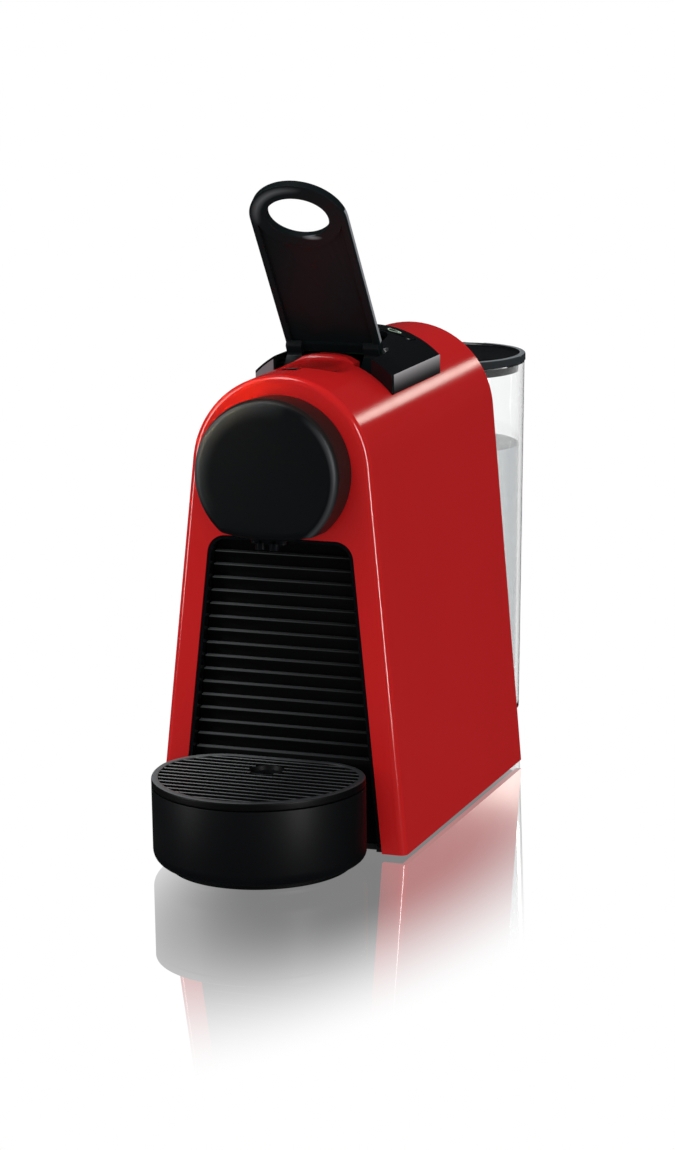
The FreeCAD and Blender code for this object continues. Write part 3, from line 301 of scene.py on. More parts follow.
def lever_black(graph):
    """Moulded black with painted highlights: down the right edge, on the ring and under its hole."""
    x, y, z = graph.place()
    swing = math.radians(HINGE["range_deg"][1])
    y, z = y - HINGE["pos_m"][1], z - HINGE["pos_m"][2]
    along = z * math.sin(swing) - y * math.cos(swing)       # from the hinge to the tip of the ring
    deep = z * math.cos(swing) + y * math.sin(swing)        # from the underside to the top
    # painted highlight down the right edge, where the side face catches light
    edge_x, edge_deep, edge_start, front_deep = 20.3 * MM, 14.7 * MM, 9.0 * MM, 14.0 * MM
    edge = x.above(edge_x) * deep.above(edge_deep) * along.above(edge_start)
    # painted highlight on the ring's upper left
    ring_half_wide, ring_half_long, ring_mid = 20.8 * MM, 17.7 * MM, 76.0 * MM
    across, up = x / ring_half_wide, (along - ring_mid) / ring_half_long
    crest, crest_half = 0.86, 0.11                          # in parts of the ring's outline
    ring = (distance(across, up) - crest).near_zero(crest_half)
    ring = ring * graph.ramp(up * 0.72 - across * 0.69, 0.45, 0.85)     # on the upper left alone
    # painted glint just under the finger hole
    spot_half_wide, spot_half_long, spot_x, spot_mid = 4.6 * MM, 1.3 * MM, 4.2 * MM, 66.9 * MM
    spot = distance((x - spot_x) / spot_half_wide, (along - spot_mid) / spot_half_long).near_zero(1.0)
    # the painted highlights together; the ring's and the glint's lie only near the underside
    pale = edge + deep.below(front_deep) * (0.36 * ring + 0.8 * spot)
    black = graph.blend(graph.noise(35.0), rgba(0.0050, 0.0088, 0.0100), rgba(0.0068, 0.0108, 0.0122))
    grain = graph.noise(1900.0)
    return {
        "Base Color": graph.blend(pale, black, rgba(0.30, 0.315, 0.33)),
        "Roughness": 0.30 + 0.08 * grain,
        "Normal": graph.bump(grain, 0.010 * MM),
        "Specular IOR Level": 0.16,
    }


def matt_black(graph):
    black = graph.blend(graph.noise(35.0), rgba(0.0024, 0.0029, 0.0036), rgba(0.0040, 0.0047, 0.0058))
    grain = graph.noise(2300.0)
    return {
        "Base Color": black,
        "Roughness": 0.40 + 0.10 * grain,
        "Normal": graph.bump(grain, 0.012 * MM),
        "Specular IOR Level": 0.12,
    }


def rib_black(graph):
    """Black ribs with a painted highlight on each shelf, brightest on the left."""
    x, y, z = graph.place()
    pitch, shelf_z, lowest, share = 5.48 * MM, 121.62 * MM, 39.2 * MM, 0.115
    step = (z - shelf_z) / pitch
    # painted highlight: a thin pale line on each shelf, fading from left to right
    shelf_highlight = step.fraction().below(share) * z.above(lowest)
    pale = graph.blend(graph.ramp(x, -32 * MM, 32 * MM), rgba(0.086, 0.090, 0.092), rgba(0.017, 0.018, 0.019))
    black = graph.blend(graph.noise(35.0), rgba(0.0008, 0.0010, 0.0013), rgba(0.0013, 0.0016, 0.0021))
    grain = graph.noise(2300.0)
    return {
        "Base Color": graph.blend(shelf_highlight, black, pale),
        "Roughness": 0.36 + 0.08 * grain,
        "Normal": graph.bump(grain, 0.006 * MM),
        "Specular IOR Level": 0.12,
    }


def top_highlight_black(graph, level, left, right):
    """Matt black with a painted highlight above a level, going from one colour on the left to one on the
    right.
    """
    x, y, z = graph.place()
    # painted highlight on the tops, brighter on the left
    pale = graph.blend(graph.ramp(x, -38 * MM, 14 * MM), left, right)
    black = graph.blend(graph.noise(40.0), rgba(0.0012, 0.0014, 0.0017), rgba(0.0020, 0.0023, 0.0028))
    grain = graph.noise(2300.0)
    return {
        "Base Color": graph.blend(z.above(level), black, pale),
        "Roughness": 0.38 + 0.08 * grain,
        "Normal": graph.bump(grain, 0.010 * MM),
        "Specular IOR Level": 0.14,
    }


# painted highlight on the tops of the bars
def grid_black(graph):
    return top_highlight_black(graph, GRID_HIGH.z - 0.48 * MM, rgba(0.270, 0.285, 0.288), rgba(0.060, 0.064, 0.068))


# painted highlight on the top of the rim
def rim_black(graph):
    return top_highlight_black(graph, GRID_HIGH.z - 0.4 * MM, rgba(0.150, 0.158, 0.160), rgba(0.030, 0.032, 0.034))


def grained_black(graph):
    grain = graph.noise(1500.0, 3.0)
    return {
        "Base Color": graph.blend(grain, rgba(0.006, 0.0065, 0.0075), rgba(0.011, 0.012, 0.014)),
        "Roughness": 0.52 + 0.12 * grain,
        "Normal": graph.bump(grain, 0.05 * MM),
        "Specular IOR Level": 0.4,
    }


def frame_nylon(graph):
    fleck = graph.noise(700.0, 4.0)
    return {
        "Base Color": graph.blend(fleck, rgba(0.28, 0.29, 0.30), rgba(0.38, 0.385, 0.39)),
        "Roughness": 0.42 + 0.12 * fleck,
        "Normal": graph.bump(fleck, 0.03 * MM),
    }


def clear_plastic(graph):
    return {
        "Base Color": rgba(0.985, 0.99, 0.99),
        "Roughness": 0.015 + 0.03 * graph.noise(120.0),
        "Transmission Weight": 1.0,
        "IOR": 1.49,
    }


def still_water(graph):
    """Water with painted shade, a little darker towards the right."""
    x, y, z = graph.place()
    # painted shade towards the tank's right wall
    right = graph.ramp(x, 20 * MM, 29 * MM)
    return {
        "Base Color": graph.blend(right, rgba(0.99, 1.0, 1.0), rgba(0.44, 0.47, 0.49)),
        "Roughness": 0.03 + 0.02 * graph.noise(25.0),
        "Transmission Weight": 0.8,
        "IOR": 1.33,
        "Specular IOR Level": 0.2,
    }


def brushed_steel(graph):
    lines = graph.noise(900.0, 3.0, (0.04, 1.0, 1.0))
    return {
        "Base Color": graph.blend(lines, rgba(0.52, 0.52, 0.53), rgba(0.70, 0.70, 0.71)),
        "Metallic": 1.0,
        "Roughness": 0.22 + 0.2 * lines,
        "Normal": graph.bump(lines, 0.01 * MM),
    }


def cast_aluminium(graph):
    skin = graph.noise(900.0, 5.0)
    return {
        "Base Color": graph.blend(skin, rgba(0.50, 0.51, 0.52), rgba(0.66, 0.67, 0.69)),
        "Metallic": 1.0,
        "Roughness": 0.42 + 0.2 * skin,
        "Normal": graph.bump(skin, 0.08 * MM),
    }


def soft_rubber(graph):
    bloom = graph.noise(300.0, 4.0)
    return {
        "Base Color": graph.blend(bloom, rgba(0.012, 0.012, 0.013), rgba(0.024, 0.024, 0.026)),
        "Roughness": 0.68 + 0.15 * bloom,
        "Normal": graph.bump(bloom, 0.03 * MM),
    }


def board_lacquer(graph):
    weave = graph.noise(1400.0)
    return {
        "Base Color": graph.blend(weave, rgba(0.004, 0.020, 0.009), rgba(0.006, 0.030, 0.014)),
        "Roughness": 0.3 + 0.15 * weave,
    }


def pale_print(graph):
    wear = graph.noise(1800.0)
    return {
        "Base Color": graph.blend(wear, rgba(0.50, 0.66, 0.50), rgba(0.66, 0.80, 0.66)),
        "Roughness": 0.4 + 0.1 * wear,
        "Emission Color": rgba(0.45, 0.75, 0.45),
        "Emission Strength": 0.15,
    }


RED = finish("red lacquer", red_lacquer)
PIANO = finish("piano black", piano_black)
SADDLE = finish("saddle black", saddle_black)
SATIN = finish("satin black", satin_black)
HEAD = finish("head black", head_black)
LID = finish("lid black", lid_black)
MATT = finish("matt black", matt_black)
LEVER = finish("lever black", lever_black)
RIBBED = finish("ribbed black", rib_black)
GRID = finish("grid black", grid_black)
RIM = finish("rim black", rim_black)
GRAINED = finish("grained black", grained_black)
NYLON = finish("frame nylon", frame_nylon)
CLEAR = finish("clear plastic", clear_plastic)
WATER = finish("still water", still_water)
STEEL = finish("brushed steel", brushed_steel)
CAST = finish("cast aluminium", cast_aluminium)
RUBBER = finish("soft rubber", soft_rubber)
BOARD = finish("board lacquer", board_lacquer)
PRINT = finish("pale print", pale_print)


# ---- meshes ------------------------------------------------------------------------------------
CREASE = 32.0       # degrees; an edge sharper than this stays sharp


def new_piece(name, mesh, material, body):
    """Puts a finished mesh in the scene as a piece that rides on a body."""
    piece = bpy.data.objects.new(name, mesh)
    bpy.context.scene.collection.objects.link(piece)
    mesh.materials.clear()
    mesh.materials.append(material)
    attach(piece, body)
    return piece


def shade(work, mesh, crease=CREASE):
    """Writes the work into a mesh, shaded smooth between the edges that are sharper than the crease."""
    for face in work.faces:
        face.smooth = True
    work.to_mesh(mesh)
    work.free()
    mesh.set_sharp_from_angle(angle=math.radians(crease))
    return mesh


def soften(piece, edge):
    """Rounds the sharp edges of a piece by a small, real amount."""
    bevel = piece.modifiers.new("edge", "BEVEL")
    bevel.width = edge
    bevel.segments = 2
    bevel.limit_method = "ANGLE"
    bevel.angle_limit = math.radians(CREASE)
    bevel.use_clamp_overlap = True
    bevel.harden_normals = True


def dress(node, material, edge, crease=CREASE):
    """A welded copy of a solid stands for it, with smooth shading and softened edges."""
    weld, flat = 0.002 * MM, math.radians(0.6)
    mesh = frame["nodes"][node].data.copy()
    work = bmesh.new()
    work.from_mesh(mesh)
    bmesh.ops.remove_doubles(work, verts=work.verts, dist=weld)
    bmesh.ops.dissolve_limit(work, angle_limit=flat, verts=work.verts, edges=work.edges)
    shade(work, mesh, crease)
    piece = new_piece(node + "_dress", mesh, material, BODY_OF[node])
    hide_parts(node)
    soften(piece, edge)
    return piece


def coat(node, material):
    """Gives a solid that is carried over as it is its finish."""
    mesh = frame["nodes"][node].data
    mesh.materials.clear()
    mesh.materials.append(material)


def grow(name, material, sizes, build):
    """Mesh of what a geometry tree makes; sizes names each input of the tree and gives its value."""
    tree = bpy.data.node_groups.new(name, "GeometryNodeTree")
    tree.interface.new_socket("Geometry", in_out="OUTPUT", socket_type="NodeSocketGeometry")
    sockets = {}
    for label, value in sizes.items():
        kind = "NodeSocketInt" if isinstance(value, int) else "NodeSocketFloat"
        sockets[label] = tree.interface.new_socket(label, in_out="INPUT", socket_type=kind)
    graph = Graph(tree)
    entry = graph.add("NodeGroupInput")
    shape = build(graph, {label: entry.output(label) for label in sizes})
    shape = graph.add("GeometryNodeRealizeInstances", inputs={"Geometry": shape})
    shape = graph.add("GeometryNodeSetMaterial", inputs={"Geometry": shape, "Material": material})
    graph.add("NodeGroupOutput", inputs={"Geometry": shape})
    holder = bpy.data.objects.new(name, bpy.data.meshes.new(name))
    bpy.context.scene.collection.objects.link(holder)
    modifier = holder.modifiers.new(name, "NODES")
    modifier.node_group = tree
    for label, value in sizes.items():
        modifier[sockets[label].identifier] = value
    ready = holder.evaluated_get(bpy.context.evaluated_depsgraph_get())
    mesh = bpy.data.meshes.new_from_object(ready)
    holder.modifiers.remove(modifier)
    bpy.data.objects.remove(holder)
    work = bmesh.new()
    work.from_mesh(mesh)
    bmesh.ops.recalc_face_normals(work, faces=work.faces)
    return shade(work, mesh)


def slat(graph, width, height, corner):
    """Slat one unit long, from x 0 to 1, with a rounded section."""
    line = graph.add("GeometryNodeCurvePrimitiveLine", inputs={"Start": (0, 0, 0), "End": (1, 0, 0)})
    section = graph.add("GeometryNodeCurvePrimitiveQuadrilateral", inputs={"Width": width, "Height": height})
    section = graph.add("GeometryNodeFilletCurve", {"mode": "POLY"},
                        {"Curve": section, "Radius": corner, "Count": 4})
    return graph.add("GeometryNodeCurveToMesh",
                     inputs={"Curve": line, "Profile Curve": section, "Fill Caps": True})


def ringed(outline, profile, closed=True):
    """Mesh of rings: outline(inset) gives the points of a ring, profile lists (inset, height)."""
    work = bmesh.new()
    rings = []
    for inset, height in profile:
        rings.append([work.verts.new((x, y, height)) for x, y in outline(inset)])
    pairs = list(zip(rings, rings[1:]))
    if closed:
        pairs.append((rings[-1], rings[0]))
    for low, high in pairs:
        for k in range(len(low)):
            after = (k + 1) % len(low)
            work.faces.new((low[k], low[after], high[after], high[k]))
    if not closed:
        work.faces.new(rings[0])
        work.faces.new(rings[-1])
    bmesh.ops.recalc_face_normals(work, faces=work.faces)
    return shade(work, bpy.data.meshes.new("ringed"))


def lathe(profile, centre, steps):
    """Mesh turned about an upright axis; the profile is a list of (radius, height)."""
    work = bmesh.new()
    rings = []
    for radius, height in profile:
        ring = []
        for k in range(steps if radius else 1):
            turn = 2 * math.pi * k / steps
            spot = Vector((radius * math.cos(turn), radius * math.sin(turn), height))
            ring.append(work.verts.new(centre + spot))
        rings.append(ring)
    for low, high in zip(rings, rings[1:]):
        for k in range(steps):
            after = (k + 1) % steps
            if len(low) == 1:
                work.faces.new((low[0], high[after], high[k]))
            elif len(high) == 1:
                work.faces.new((low[k], low[after], high[0]))
            else:
                work.faces.new((low[k], low[after], high[after], high[k]))
    bmesh.ops.remove_doubles(work, verts=work.verts, dist=0.001 * MM)
    bmesh.ops.recalc_face_normals(work, faces=work.faces)
    return shade(work, bpy.data.meshes.new("turned"))


def arc(centre, radius, start, end, steps=6):
    """Points of a round stretch of a profile, between two angles in degrees."""
    points = []
    for k in range(steps + 1):
        turn = math.radians(start + (end - start) * k / steps)
        points.append((centre[0] + radius * math.cos(turn), centre[1] + radius * math.sin(turn)))
    return points


def settle(piece):
    """Bakes the modifiers of a piece into its mesh."""
    ready = piece.evaluated_get(bpy.context.evaluated_depsgraph_get())
    mesh = bpy.data.meshes.new_from_object(ready)
    piece.modifiers.clear()
    piece.data = mesh
    return mesh


def true_arch(shell):
    """Turns the shading of the arch to point straight away from its axis."""
    near = 0.06 * MM
    mesh = settle(shell)
    normals = [Vector(corner.vector) for corner in mesh.corner_normals]
    for face in mesh.polygons:
        spots = [mesh.vertices[i].co for i in face.vertices]
        outward = [Vector((spot.x, 0, spot.z - ARCH_Z)) for spot in spots]
        if all(abs(out.length - ARCH_R) < near for out in outward) and face.normal.dot(outward[0]) > 0:
            for corner, out in zip(face.loop_indices, outward):
                normals[corner] = out.normalized()
    mesh.normals_split_custom_set(normals)


def raise_rim(socket):
    """Draws the rim of the latch socket up until it lies just under the face of the crown."""
    rim_low, sunk = 193.1 * MM, 0.12 * MM
    for vertex in socket.data.vertices:
        if vertex.co.z > rim_low:
            vertex.co.z = ARCH_Z + math.sqrt(ARCH_R ** 2 - vertex.co.x ** 2) - sunk


# ---- pieces ------------------------------------------------------------------------------------
DRESSED = [         # node, finish, how far its edges are rounded, and its crease where it has its own
    ("outer_shell", RED, 0.5 * MM, 20.0),
    ("latch_socket", SATIN, 0.2 * MM),
    ("rear_panel", SATIN, 0.4 * MM),
    ("power_gland", GRAINED, 0.2 * MM),
    ("front_liner", PIANO, 0.2 * MM),
    ("head_collar", SATIN, 0.2 * MM),
    ("head_cap", HEAD, 0.25 * MM),
    ("coffee_spout", PIANO, 0.3 * MM),
    ("button_band", SADDLE, 0.45 * MM),
    ("capsule_guides", STEEL, 0.15 * MM),
    ("key_espresso", SATIN, 0.3 * MM),
    ("key_lungo", SATIN, 0.3 * MM),
    ("lever", LEVER, 0.45 * MM),
    ("container_front", RIBBED, 0.55 * MM),
    ("capsule_container", SATIN, 0.2 * MM),
    ("tank_lid", LID, 0.25 * MM),
    ("tank_cradle", SATIN, 0.2 * MM),
    ("base_plate", GRAINED, 0.2 * MM),
    ("rubber_feet", RUBBER, 0.2 * MM),
]
CARRIED = {         # these stay as they are packed
    STEEL: ["base_screws", "lever_shaft", "crank_arms", "piercing_plate", "bell_needles", "hot_pipe", "pump"],
    SATIN: ["brew_carriage", "brew_bell", "tank_valve", "flow_meter", "key_switches", "inlet_spigot"],
    NYLON: ["brew_frame", "coffee_sleeve"],
    CAST: ["thermoblock"],
    RUBBER: ["inlet_seal", "bell_seal", "pump_mounts", "supply_hose", "pressure_hose"],
    BOARD: ["control_board"],
}

dressed = {row[0]: dress(*row) for row in DRESSED}
true_arch(dressed["outer_shell"])
raise_rim(dressed["latch_socket"])
for material, nodes in CARRIED.items():
    for node in nodes:
        coat(node, material)


# ---- drip tray and its grid --------------------------------------------------------------------
TRAY_R = (TRAY_HIGH.x - TRAY_LOW.x) / 2         # round front
TRAY_CORNER = 25.0 * MM                         # rear corners
TRAY_Y = TRAY_LOW.y + TRAY_R                    # where the round front meets the corners
DRAIN_R = 7.3 * MM
DRAIN_Y = TRAY_Y + 7.3 * MM


def tray_outline(inset):
    """Plan of the tray, moved inwards: half a circle in front, two corners and a straight rear."""
    front, corner, side = TRAY_R - inset, TRAY_CORNER - inset, TRAY_R - TRAY_CORNER
    points = arc((0, TRAY_Y), front, 180, 360, 72)
    points += arc((side, TRAY_Y), corner, 0, 90, 20)[1:]
    points += [(side * (1 - 2 * k / 8), TRAY_Y + corner) for k in range(1, 8)]
    points += arc((-side, TRAY_Y), corner, 90, 180, 20)[:-1]
    return points


def drip_tray():
    """Tub with a rounded foot, standing on a low ring, and a rolled top edge."""
    base, top = TRAY_LOW.z, TRAY_HIGH.z
    floor_z, bend = base + 2.0 * MM, 5.8 * MM
    ring_inner, ring_outer, chamfer, wall = 8.4 * MM, 6.4 * MM, 0.4 * MM, 1.7 * MM
    profile = [(ring_inner, floor_z), (ring_inner, base + chamfer), (ring_inner - chamfer, base),
               (ring_outer + chamfer, base), (ring_outer, base + chamfer), (ring_outer, floor_z)]
    profile += [(bend - r, z) for r, z in arc((0, floor_z + bend), bend, 270, 360, 8)]
    profile += [(0.0, top - 0.5 * MM), (0.15 * MM, top - 0.15 * MM), (0.5 * MM, top), (1.4 * MM, top),
                (wall, top - 0.3 * MM), (wall, base + 12 * MM), (6.5 * MM, base + 4.0 * MM),
                (14.0 * MM, base + 3.8 * MM)]
    mesh = ringed(tray_outline, profile, closed=False)
    tub = new_piece("tray_tub", mesh, MATT, "tray")
    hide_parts("drip_tray")


def grid_rim():
    """Flat rim of the grid with a rolled outer edge."""
    low, high = GRID_LOW.z, GRID_HIGH.z
    roll, inner = 1.0 * MM, 2.8 * MM
    profile = [(0.35 * MM, low), (0.0, low + 0.35 * MM)]
    profile += [(roll - r, z) for r, z in arc((0, high - roll), roll, 0, 90, 5)]
    profile += [(2.3 * MM, high), (2.6 * MM, high - 0.1 * MM), (inner, high - 0.45 * MM), (inner, low)]
    rim = new_piece("grid_rim", ringed(tray_outline, profile), RIM, "grid")
    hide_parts("drip_grid")


def chord(radius, away):
    """Half the width of a circle at a distance from its middle, and 0 outside it."""
    return (radius ** 2 - away * away).at_least(0.0).root()


def grid_bars():
    """Cross bars that end at the rim and at the drain cup."""
    count, tucked = 14, 2.5 * MM            # the ends are tucked into the rim
    first_y, last_y = TRAY_Y - TRAY_R + 5.6 * MM, TRAY_Y + TRAY_CORNER - 5.0 * MM
    depth, sunk = 2.0 * MM, 0.45 * MM
    sizes = {"Count": count, "First": first_y, "Pitch": (last_y - first_y) / (count - 1),
             "Height": GRID_HIGH.z - sunk - depth / 2, "Middle": TRAY_Y, "Front Radius": TRAY_R - tucked,
             "Corner Radius": TRAY_CORNER - tucked, "Side": TRAY_R - TRAY_CORNER, "Drain": DRAIN_Y,
             "Drain Radius": DRAIN_R, "Width": 1.2 * MM, "Depth": depth, "Corner": 0.2 * MM}

    def build(graph, size):
        y = size["First"] + graph.add("GeometryNodeInputIndex") * size["Pitch"]
        away = y - size["Middle"]
        rear = away.above(0.0)
        front_reach = chord(size["Front Radius"], away)
        rear_reach = size["Side"] + chord(size["Corner Radius"], away)
        outer = front_reach * (1 - rear) + rear_reach * rear
        inner = chord(size["Drain Radius"], y - size["Drain"])
        bar = slat(graph, size["Width"], size["Depth"], size["Corner"])
        scale = graph.add("ShaderNodeCombineXYZ", inputs={"X": outer - inner, "Y": 1.0, "Z": 1.0})
        halves = []
        for side, turn in ((1, 0.0), (-1, math.pi)):
            place = graph.add("ShaderNodeCombineXYZ", inputs={"X": inner * side, "Y": y, "Z": size["Height"]})
            points = graph.add("GeometryNodePoints", inputs={"Count": size["Count"], "Position": place})
            halves.append(graph.add("GeometryNodeInstanceOnPoints", inputs={
                "Points": points, "Instance": bar, "Rotation": (0, 0, turn), "Scale": scale}))
        return graph.add("GeometryNodeJoinGeometry", inputs={"Geometry": halves})

    new_piece("grid_bars", grow("grid bars", GRID, sizes, build), GRID, "grid")


def drain_cup():
    """Round cup in the grid, with a hole in its floor."""
    low, high = GRID_LOW.z, GRID_HIGH.z
    hole, steps = 2.6 * MM, 48
    profile = [(hole, low), (DRAIN_R, low), (DRAIN_R, high - 0.75 * MM),
               (DRAIN_R - 0.25 * MM, high - 0.5 * MM), (DRAIN_R - 0.7 * MM, high - 0.6 * MM),
               (DRAIN_R - 1.5 * MM, low + 1.2 * MM), (hole, low + 0.9 * MM), (hole, low)]
    mesh = lathe(profile, Vector((0, DRAIN_Y, 0)), steps)
    new_piece("drain_cup", mesh, MATT, "grid")


# ---- water tank --------------------------------------------------------------------------------
def tank():
    """Clear wall of the tank with the seat of its valve, and the water in it."""
    base, top = TANK_LOW.z, TANK_HIGH.z
    foot_r, rim_r, thick, steps = 29.6 * MM, 33.1 * MM, 1.8 * MM, 160

    def radius(z):
        return foot_r + (rim_r - foot_r) * (z - base) / (top - base)

    floor_z, under_z = base + 5.0 * MM, base + 2.9 * MM
    seat_r, bore_r, seat_z = 8.4 * MM, 5.1 * MM, base + 13.0 * MM
    ring_r, edge = 26.2 * MM, 0.3 * MM
    profile = [(ring_r, base), (foot_r - 1.2 * MM, base), (radius(base + 1.5 * MM), base + 1.5 * MM),
               (rim_r, top - edge), (rim_r - edge, top), (rim_r - thick + edge, top),
               (rim_r - thick, top - edge), (radius(floor_z) - thick, floor_z),
               (seat_r, floor_z), (seat_r, seat_z), (7.0 * MM, seat_z),
               (bore_r, seat_z - 0.6 * MM), (bore_r, under_z), (ring_r - 1.0 * MM, under_z), (ring_r, base)]
    wall = new_piece("tank_wall", lathe(profile, TANK_AXIS, steps), CLEAR, "tank")
    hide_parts("water_tank")
    foot, level = base + 5.4 * MM, base + 127 * MM
    inside = thick + 0.12 * MM
    profile = [(0, foot), (radius(foot) - inside, foot), (radius(level) - inside, level), (0, level)]
    new_piece("water", lathe(profile, TANK_AXIS, steps), WATER, "tank")


# ---- cup signs on the keys ---------------------------------------------------------------------
def ribbon(work, path, width):
    """Thin raised line over a key's face, along (x, y) points."""
    face_r, sunk, raised = 43.85 * MM, -0.05 * MM, 0.06 * MM

    def on_face(spot, lift):
        return (spot.x, spot.y, SADDLE_Z + math.sqrt(face_r ** 2 - spot.x ** 2) + lift)

    rows = []
    for k, spot in enumerate(path):
        before, after = Vector(path[max(k - 1, 0)]), Vector(path[min(k + 1, len(path) - 1)])
        along = (after - before).normalized()
        across = Vector((-along.y, along.x)) * width / 2
        left, right = Vector(spot) + across, Vector(spot) - across
        corners = [(left, sunk), (left, raised), (right, raised), (right, sunk)]
        rows.append([work.verts.new(on_face(*corner)) for corner in corners])
    for near, far in zip(rows, rows[1:]):
        for k in range(4):
            after = (k + 1) % 4
            work.faces.new((near[k], near[after], far[after], far[k]))
    work.faces.new(rows[0])
    work.faces.new(rows[-1])


def cup_sign(key, middle, size):
    """Outline of a cup with its handle, printed on a key."""
    bowl = arc((0, 0.10), 0.50, 180, 360, 12)
    bowl = [(-0.5, 0.42)] + bowl + [(0.5, 0.42), (-0.5, 0.42)]
    handle = arc((0.50, 0.12), 0.26, -80, 80, 8)
    line = 0.36 * MM
    work = bmesh.new()
    for path in (bowl, handle):
        ribbon(work, [(middle[0] + x * size, middle[1] + y * size) for x, y in path], line)
    bmesh.ops.recalc_face_normals(work, faces=work.faces)
    mesh = bpy.data.meshes.new(key + "_sign")
    work.to_mesh(mesh)
    work.free()
    new_piece(key + "_sign", mesh, PRINT, BODY_OF[key])


cup_sign("key_lungo", (11.9 * MM, 14.3 * MM), 4.4 * MM)
cup_sign("key_espresso", (-12.3 * MM, 14.4 * MM), 3.0 * MM)
drip_tray()
grid_rim()
grid_bars()
drain_cup()
tank()


# ---- stage -------------------------------------------------------------------------------------
WHITE = (1.0, 1.0, 1.0)
SKY_MATT, SKY_GLOSS = (0.76, 0.76, 0.77), (0.020, 0.021, 0.023)
FLOOR_MATT, FLOOR_GLOSS = (0.66, 0.66, 0.66), (0.015, 0.016, 0.018)
MIRROR = 0.79                           # how much the floor mirrors under the machine
FADE_CENTRE = (0.035, -0.085, 0.0)      # the mirror of the floor fades out over an oval
FADE_REACH = (0.070, 0.188, 1.0)
FADE_START, FADE_END = 0.48, 1.52       # in parts of that reach


def by_ray(graph, eye, matt, gloss):
    """Where the eye looks, and the colour that the eye, the matt surfaces and the glossy ones meet."""
    path = graph.add("ShaderNodeLightPath", out="Is Camera Ray")
    seen = path.at_least(path.output("Is Singular Ray")).at_least(path.output("Is Transmission Ray"))
    unseen = graph.blend(path.output("Is Glossy Ray"), rgba(*matt), rgba(*gloss))
    return seen, graph.blend(seen, unseen, rgba(*eye))


def floor():
    """Pale floor that mirrors the machine where it stands."""
    mesh = bpy.data.meshes.new("floor")
    reach = 14.0
    mesh.from_pydata([(-reach, -reach, 0), (reach, -reach, 0), (reach, reach, 0), (-reach, reach, 0)],
                     [], [(0, 1, 2, 3)])
    plane = bpy.data.objects.new("floor", mesh)
    bpy.context.scene.collection.objects.link(plane)
    material = bpy.data.materials.new("pale floor")
    material.use_nodes = True
    graph = Graph(material.node_tree)
    graph.tree.nodes.clear()
    seen, glow = by_ray(graph, WHITE, FLOOR_MATT, FLOOR_GLOSS)
    place = graph.add("ShaderNodeTexCoord", out="Object")
    away = graph.add("ShaderNodeVectorMath", {"operation": "SUBTRACT"}, {0: place, 1: FADE_CENTRE})
    away = graph.add("ShaderNodeVectorMath", {"operation": "DIVIDE"}, {0: away, 1: FADE_REACH})
    away = graph.add("ShaderNodeVectorMath", {"operation": "LENGTH"}, {0: away}, out="Value")
    far = graph.add("ShaderNodeMapRange", {"interpolation_type": "SMOOTHSTEP"},
                    {"Value": away, "From Min": FADE_START, "From Max": FADE_END})
    plain = graph.add("ShaderNodeEmission", inputs={"Color": glow, "Strength": 1.0})
    mirror = graph.add("ShaderNodeBsdfGlossy", inputs={"Color": rgba(1.0, 1.0, 1.0), "Roughness": 0.0})
    surface = graph.add("ShaderNodeMixShader", inputs={0: MIRROR * (1 - far) * seen, 1: plain, 2: mirror})
    graph.add("ShaderNodeOutputMaterial", inputs={"Surface": surface})
    mesh.materials.append(material)


def sky():
    """White surround for the eye, a soft one for matt surfaces and a dark one for glossy ones."""
    world = bpy.data.worlds.new("studio")
    bpy.context.scene.world = world
    world.use_nodes = True
    graph = Graph(world.node_tree)
    graph.tree.nodes.clear()
    tone = by_ray(graph, WHITE, SKY_MATT, SKY_GLOSS)[1]
    light = graph.add("ShaderNodeBackground", inputs={"Color": tone, "Strength": 1.0})
    graph.add("ShaderNodeOutputWorld", inputs={"Surface": light})


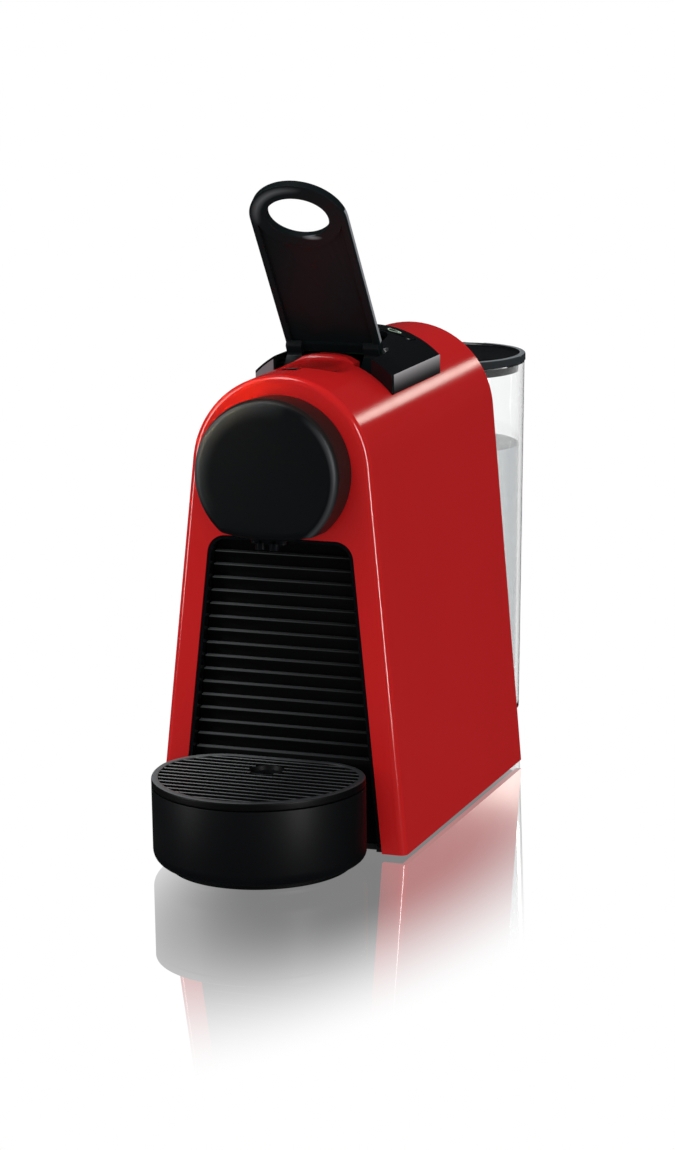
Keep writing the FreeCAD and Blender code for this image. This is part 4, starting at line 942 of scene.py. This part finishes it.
def softbox(name, place, aim, size, power, soft=True, gloss=True, tone=WHITE, spread=180.0):
    """Lamp panel; one that isn't soft is there for its mirror image alone, one without gloss has none."""
    data = bpy.data.lights.new(name, "AREA")
    data.shape = "RECTANGLE"
    data.size, data.size_y = size
    data.energy = power
    data.color = tone
    data.spread = math.radians(spread)
    lamp = bpy.data.objects.new(name, data)
    lamp.location = place
    lamp.rotation_mode = "QUATERNION"
    lamp.rotation_quaternion = (Vector(aim) - Vector(place)).to_track_quat("-Z", "Y")
    lamp.visible_camera = False
    lamp.visible_diffuse = soft
    lamp.visible_glossy = gloss
    bpy.context.scene.collection.objects.link(lamp)


def camera():
    """Long lens from the front right, a little above the machine."""
    azimuth, elevation, roll = math.radians(20.82), math.radians(12.28), math.radians(-0.954)
    away = 1.4249
    aim = Vector((0.00436, -0.0374, 0.10307))
    back = Vector((math.sin(azimuth) * math.cos(elevation), -math.cos(azimuth) * math.cos(elevation),
                   math.sin(elevation)))
    data = bpy.data.cameras.new("camera")
    data.lens = 106.16
    data.sensor_width = 36.0
    eye = bpy.data.objects.new("camera", data)
    eye.location = aim + back * away
    eye.rotation_mode = "QUATERNION"
    level = (-back).to_track_quat("-Z", "Y").to_matrix()
    eye.rotation_quaternion = (level @ Matrix.Rotation(roll, 3, "Z")).to_quaternion()
    bpy.context.scene.collection.objects.link(eye)
    bpy.context.scene.camera = eye


floor()
sky()
softbox("overhead", (-0.55, -0.5, 1.8), (0, 0, 0.1), (0.7, 0.7), 10.0)
softbox("left strip", (-0.75, -0.63, 0.38), (0, -0.05, 0.38), (0.14, 0.80), 4.0, soft=False)
softbox("right strip", (0.80, -0.55, 0.38), (0, -0.05, 0.38), (0.12, 0.80), 7.5, soft=False)
softbox("back strip", (0.86, 2.87, 0.955), (0, 0, 0.15), (0.34, 0.18), 0.95, soft=False,
        tone=(1.0, 0.93, 0.84))
softbox("crown beam", (-0.30, -0.52, 0.42), (-0.024, -0.094, 0.184), (0.03, 0.03), 0.0048, gloss=False,
        tone=(1.0, 0.72, 0.15), spread=8.0)
softbox("left glow", (-1.25, -0.45, 1.05), (0, -0.05, 0.15), (0.9, 1.1), 3.0, soft=False)
bpy.context.scene.view_settings.view_transform = "Standard"
camera()
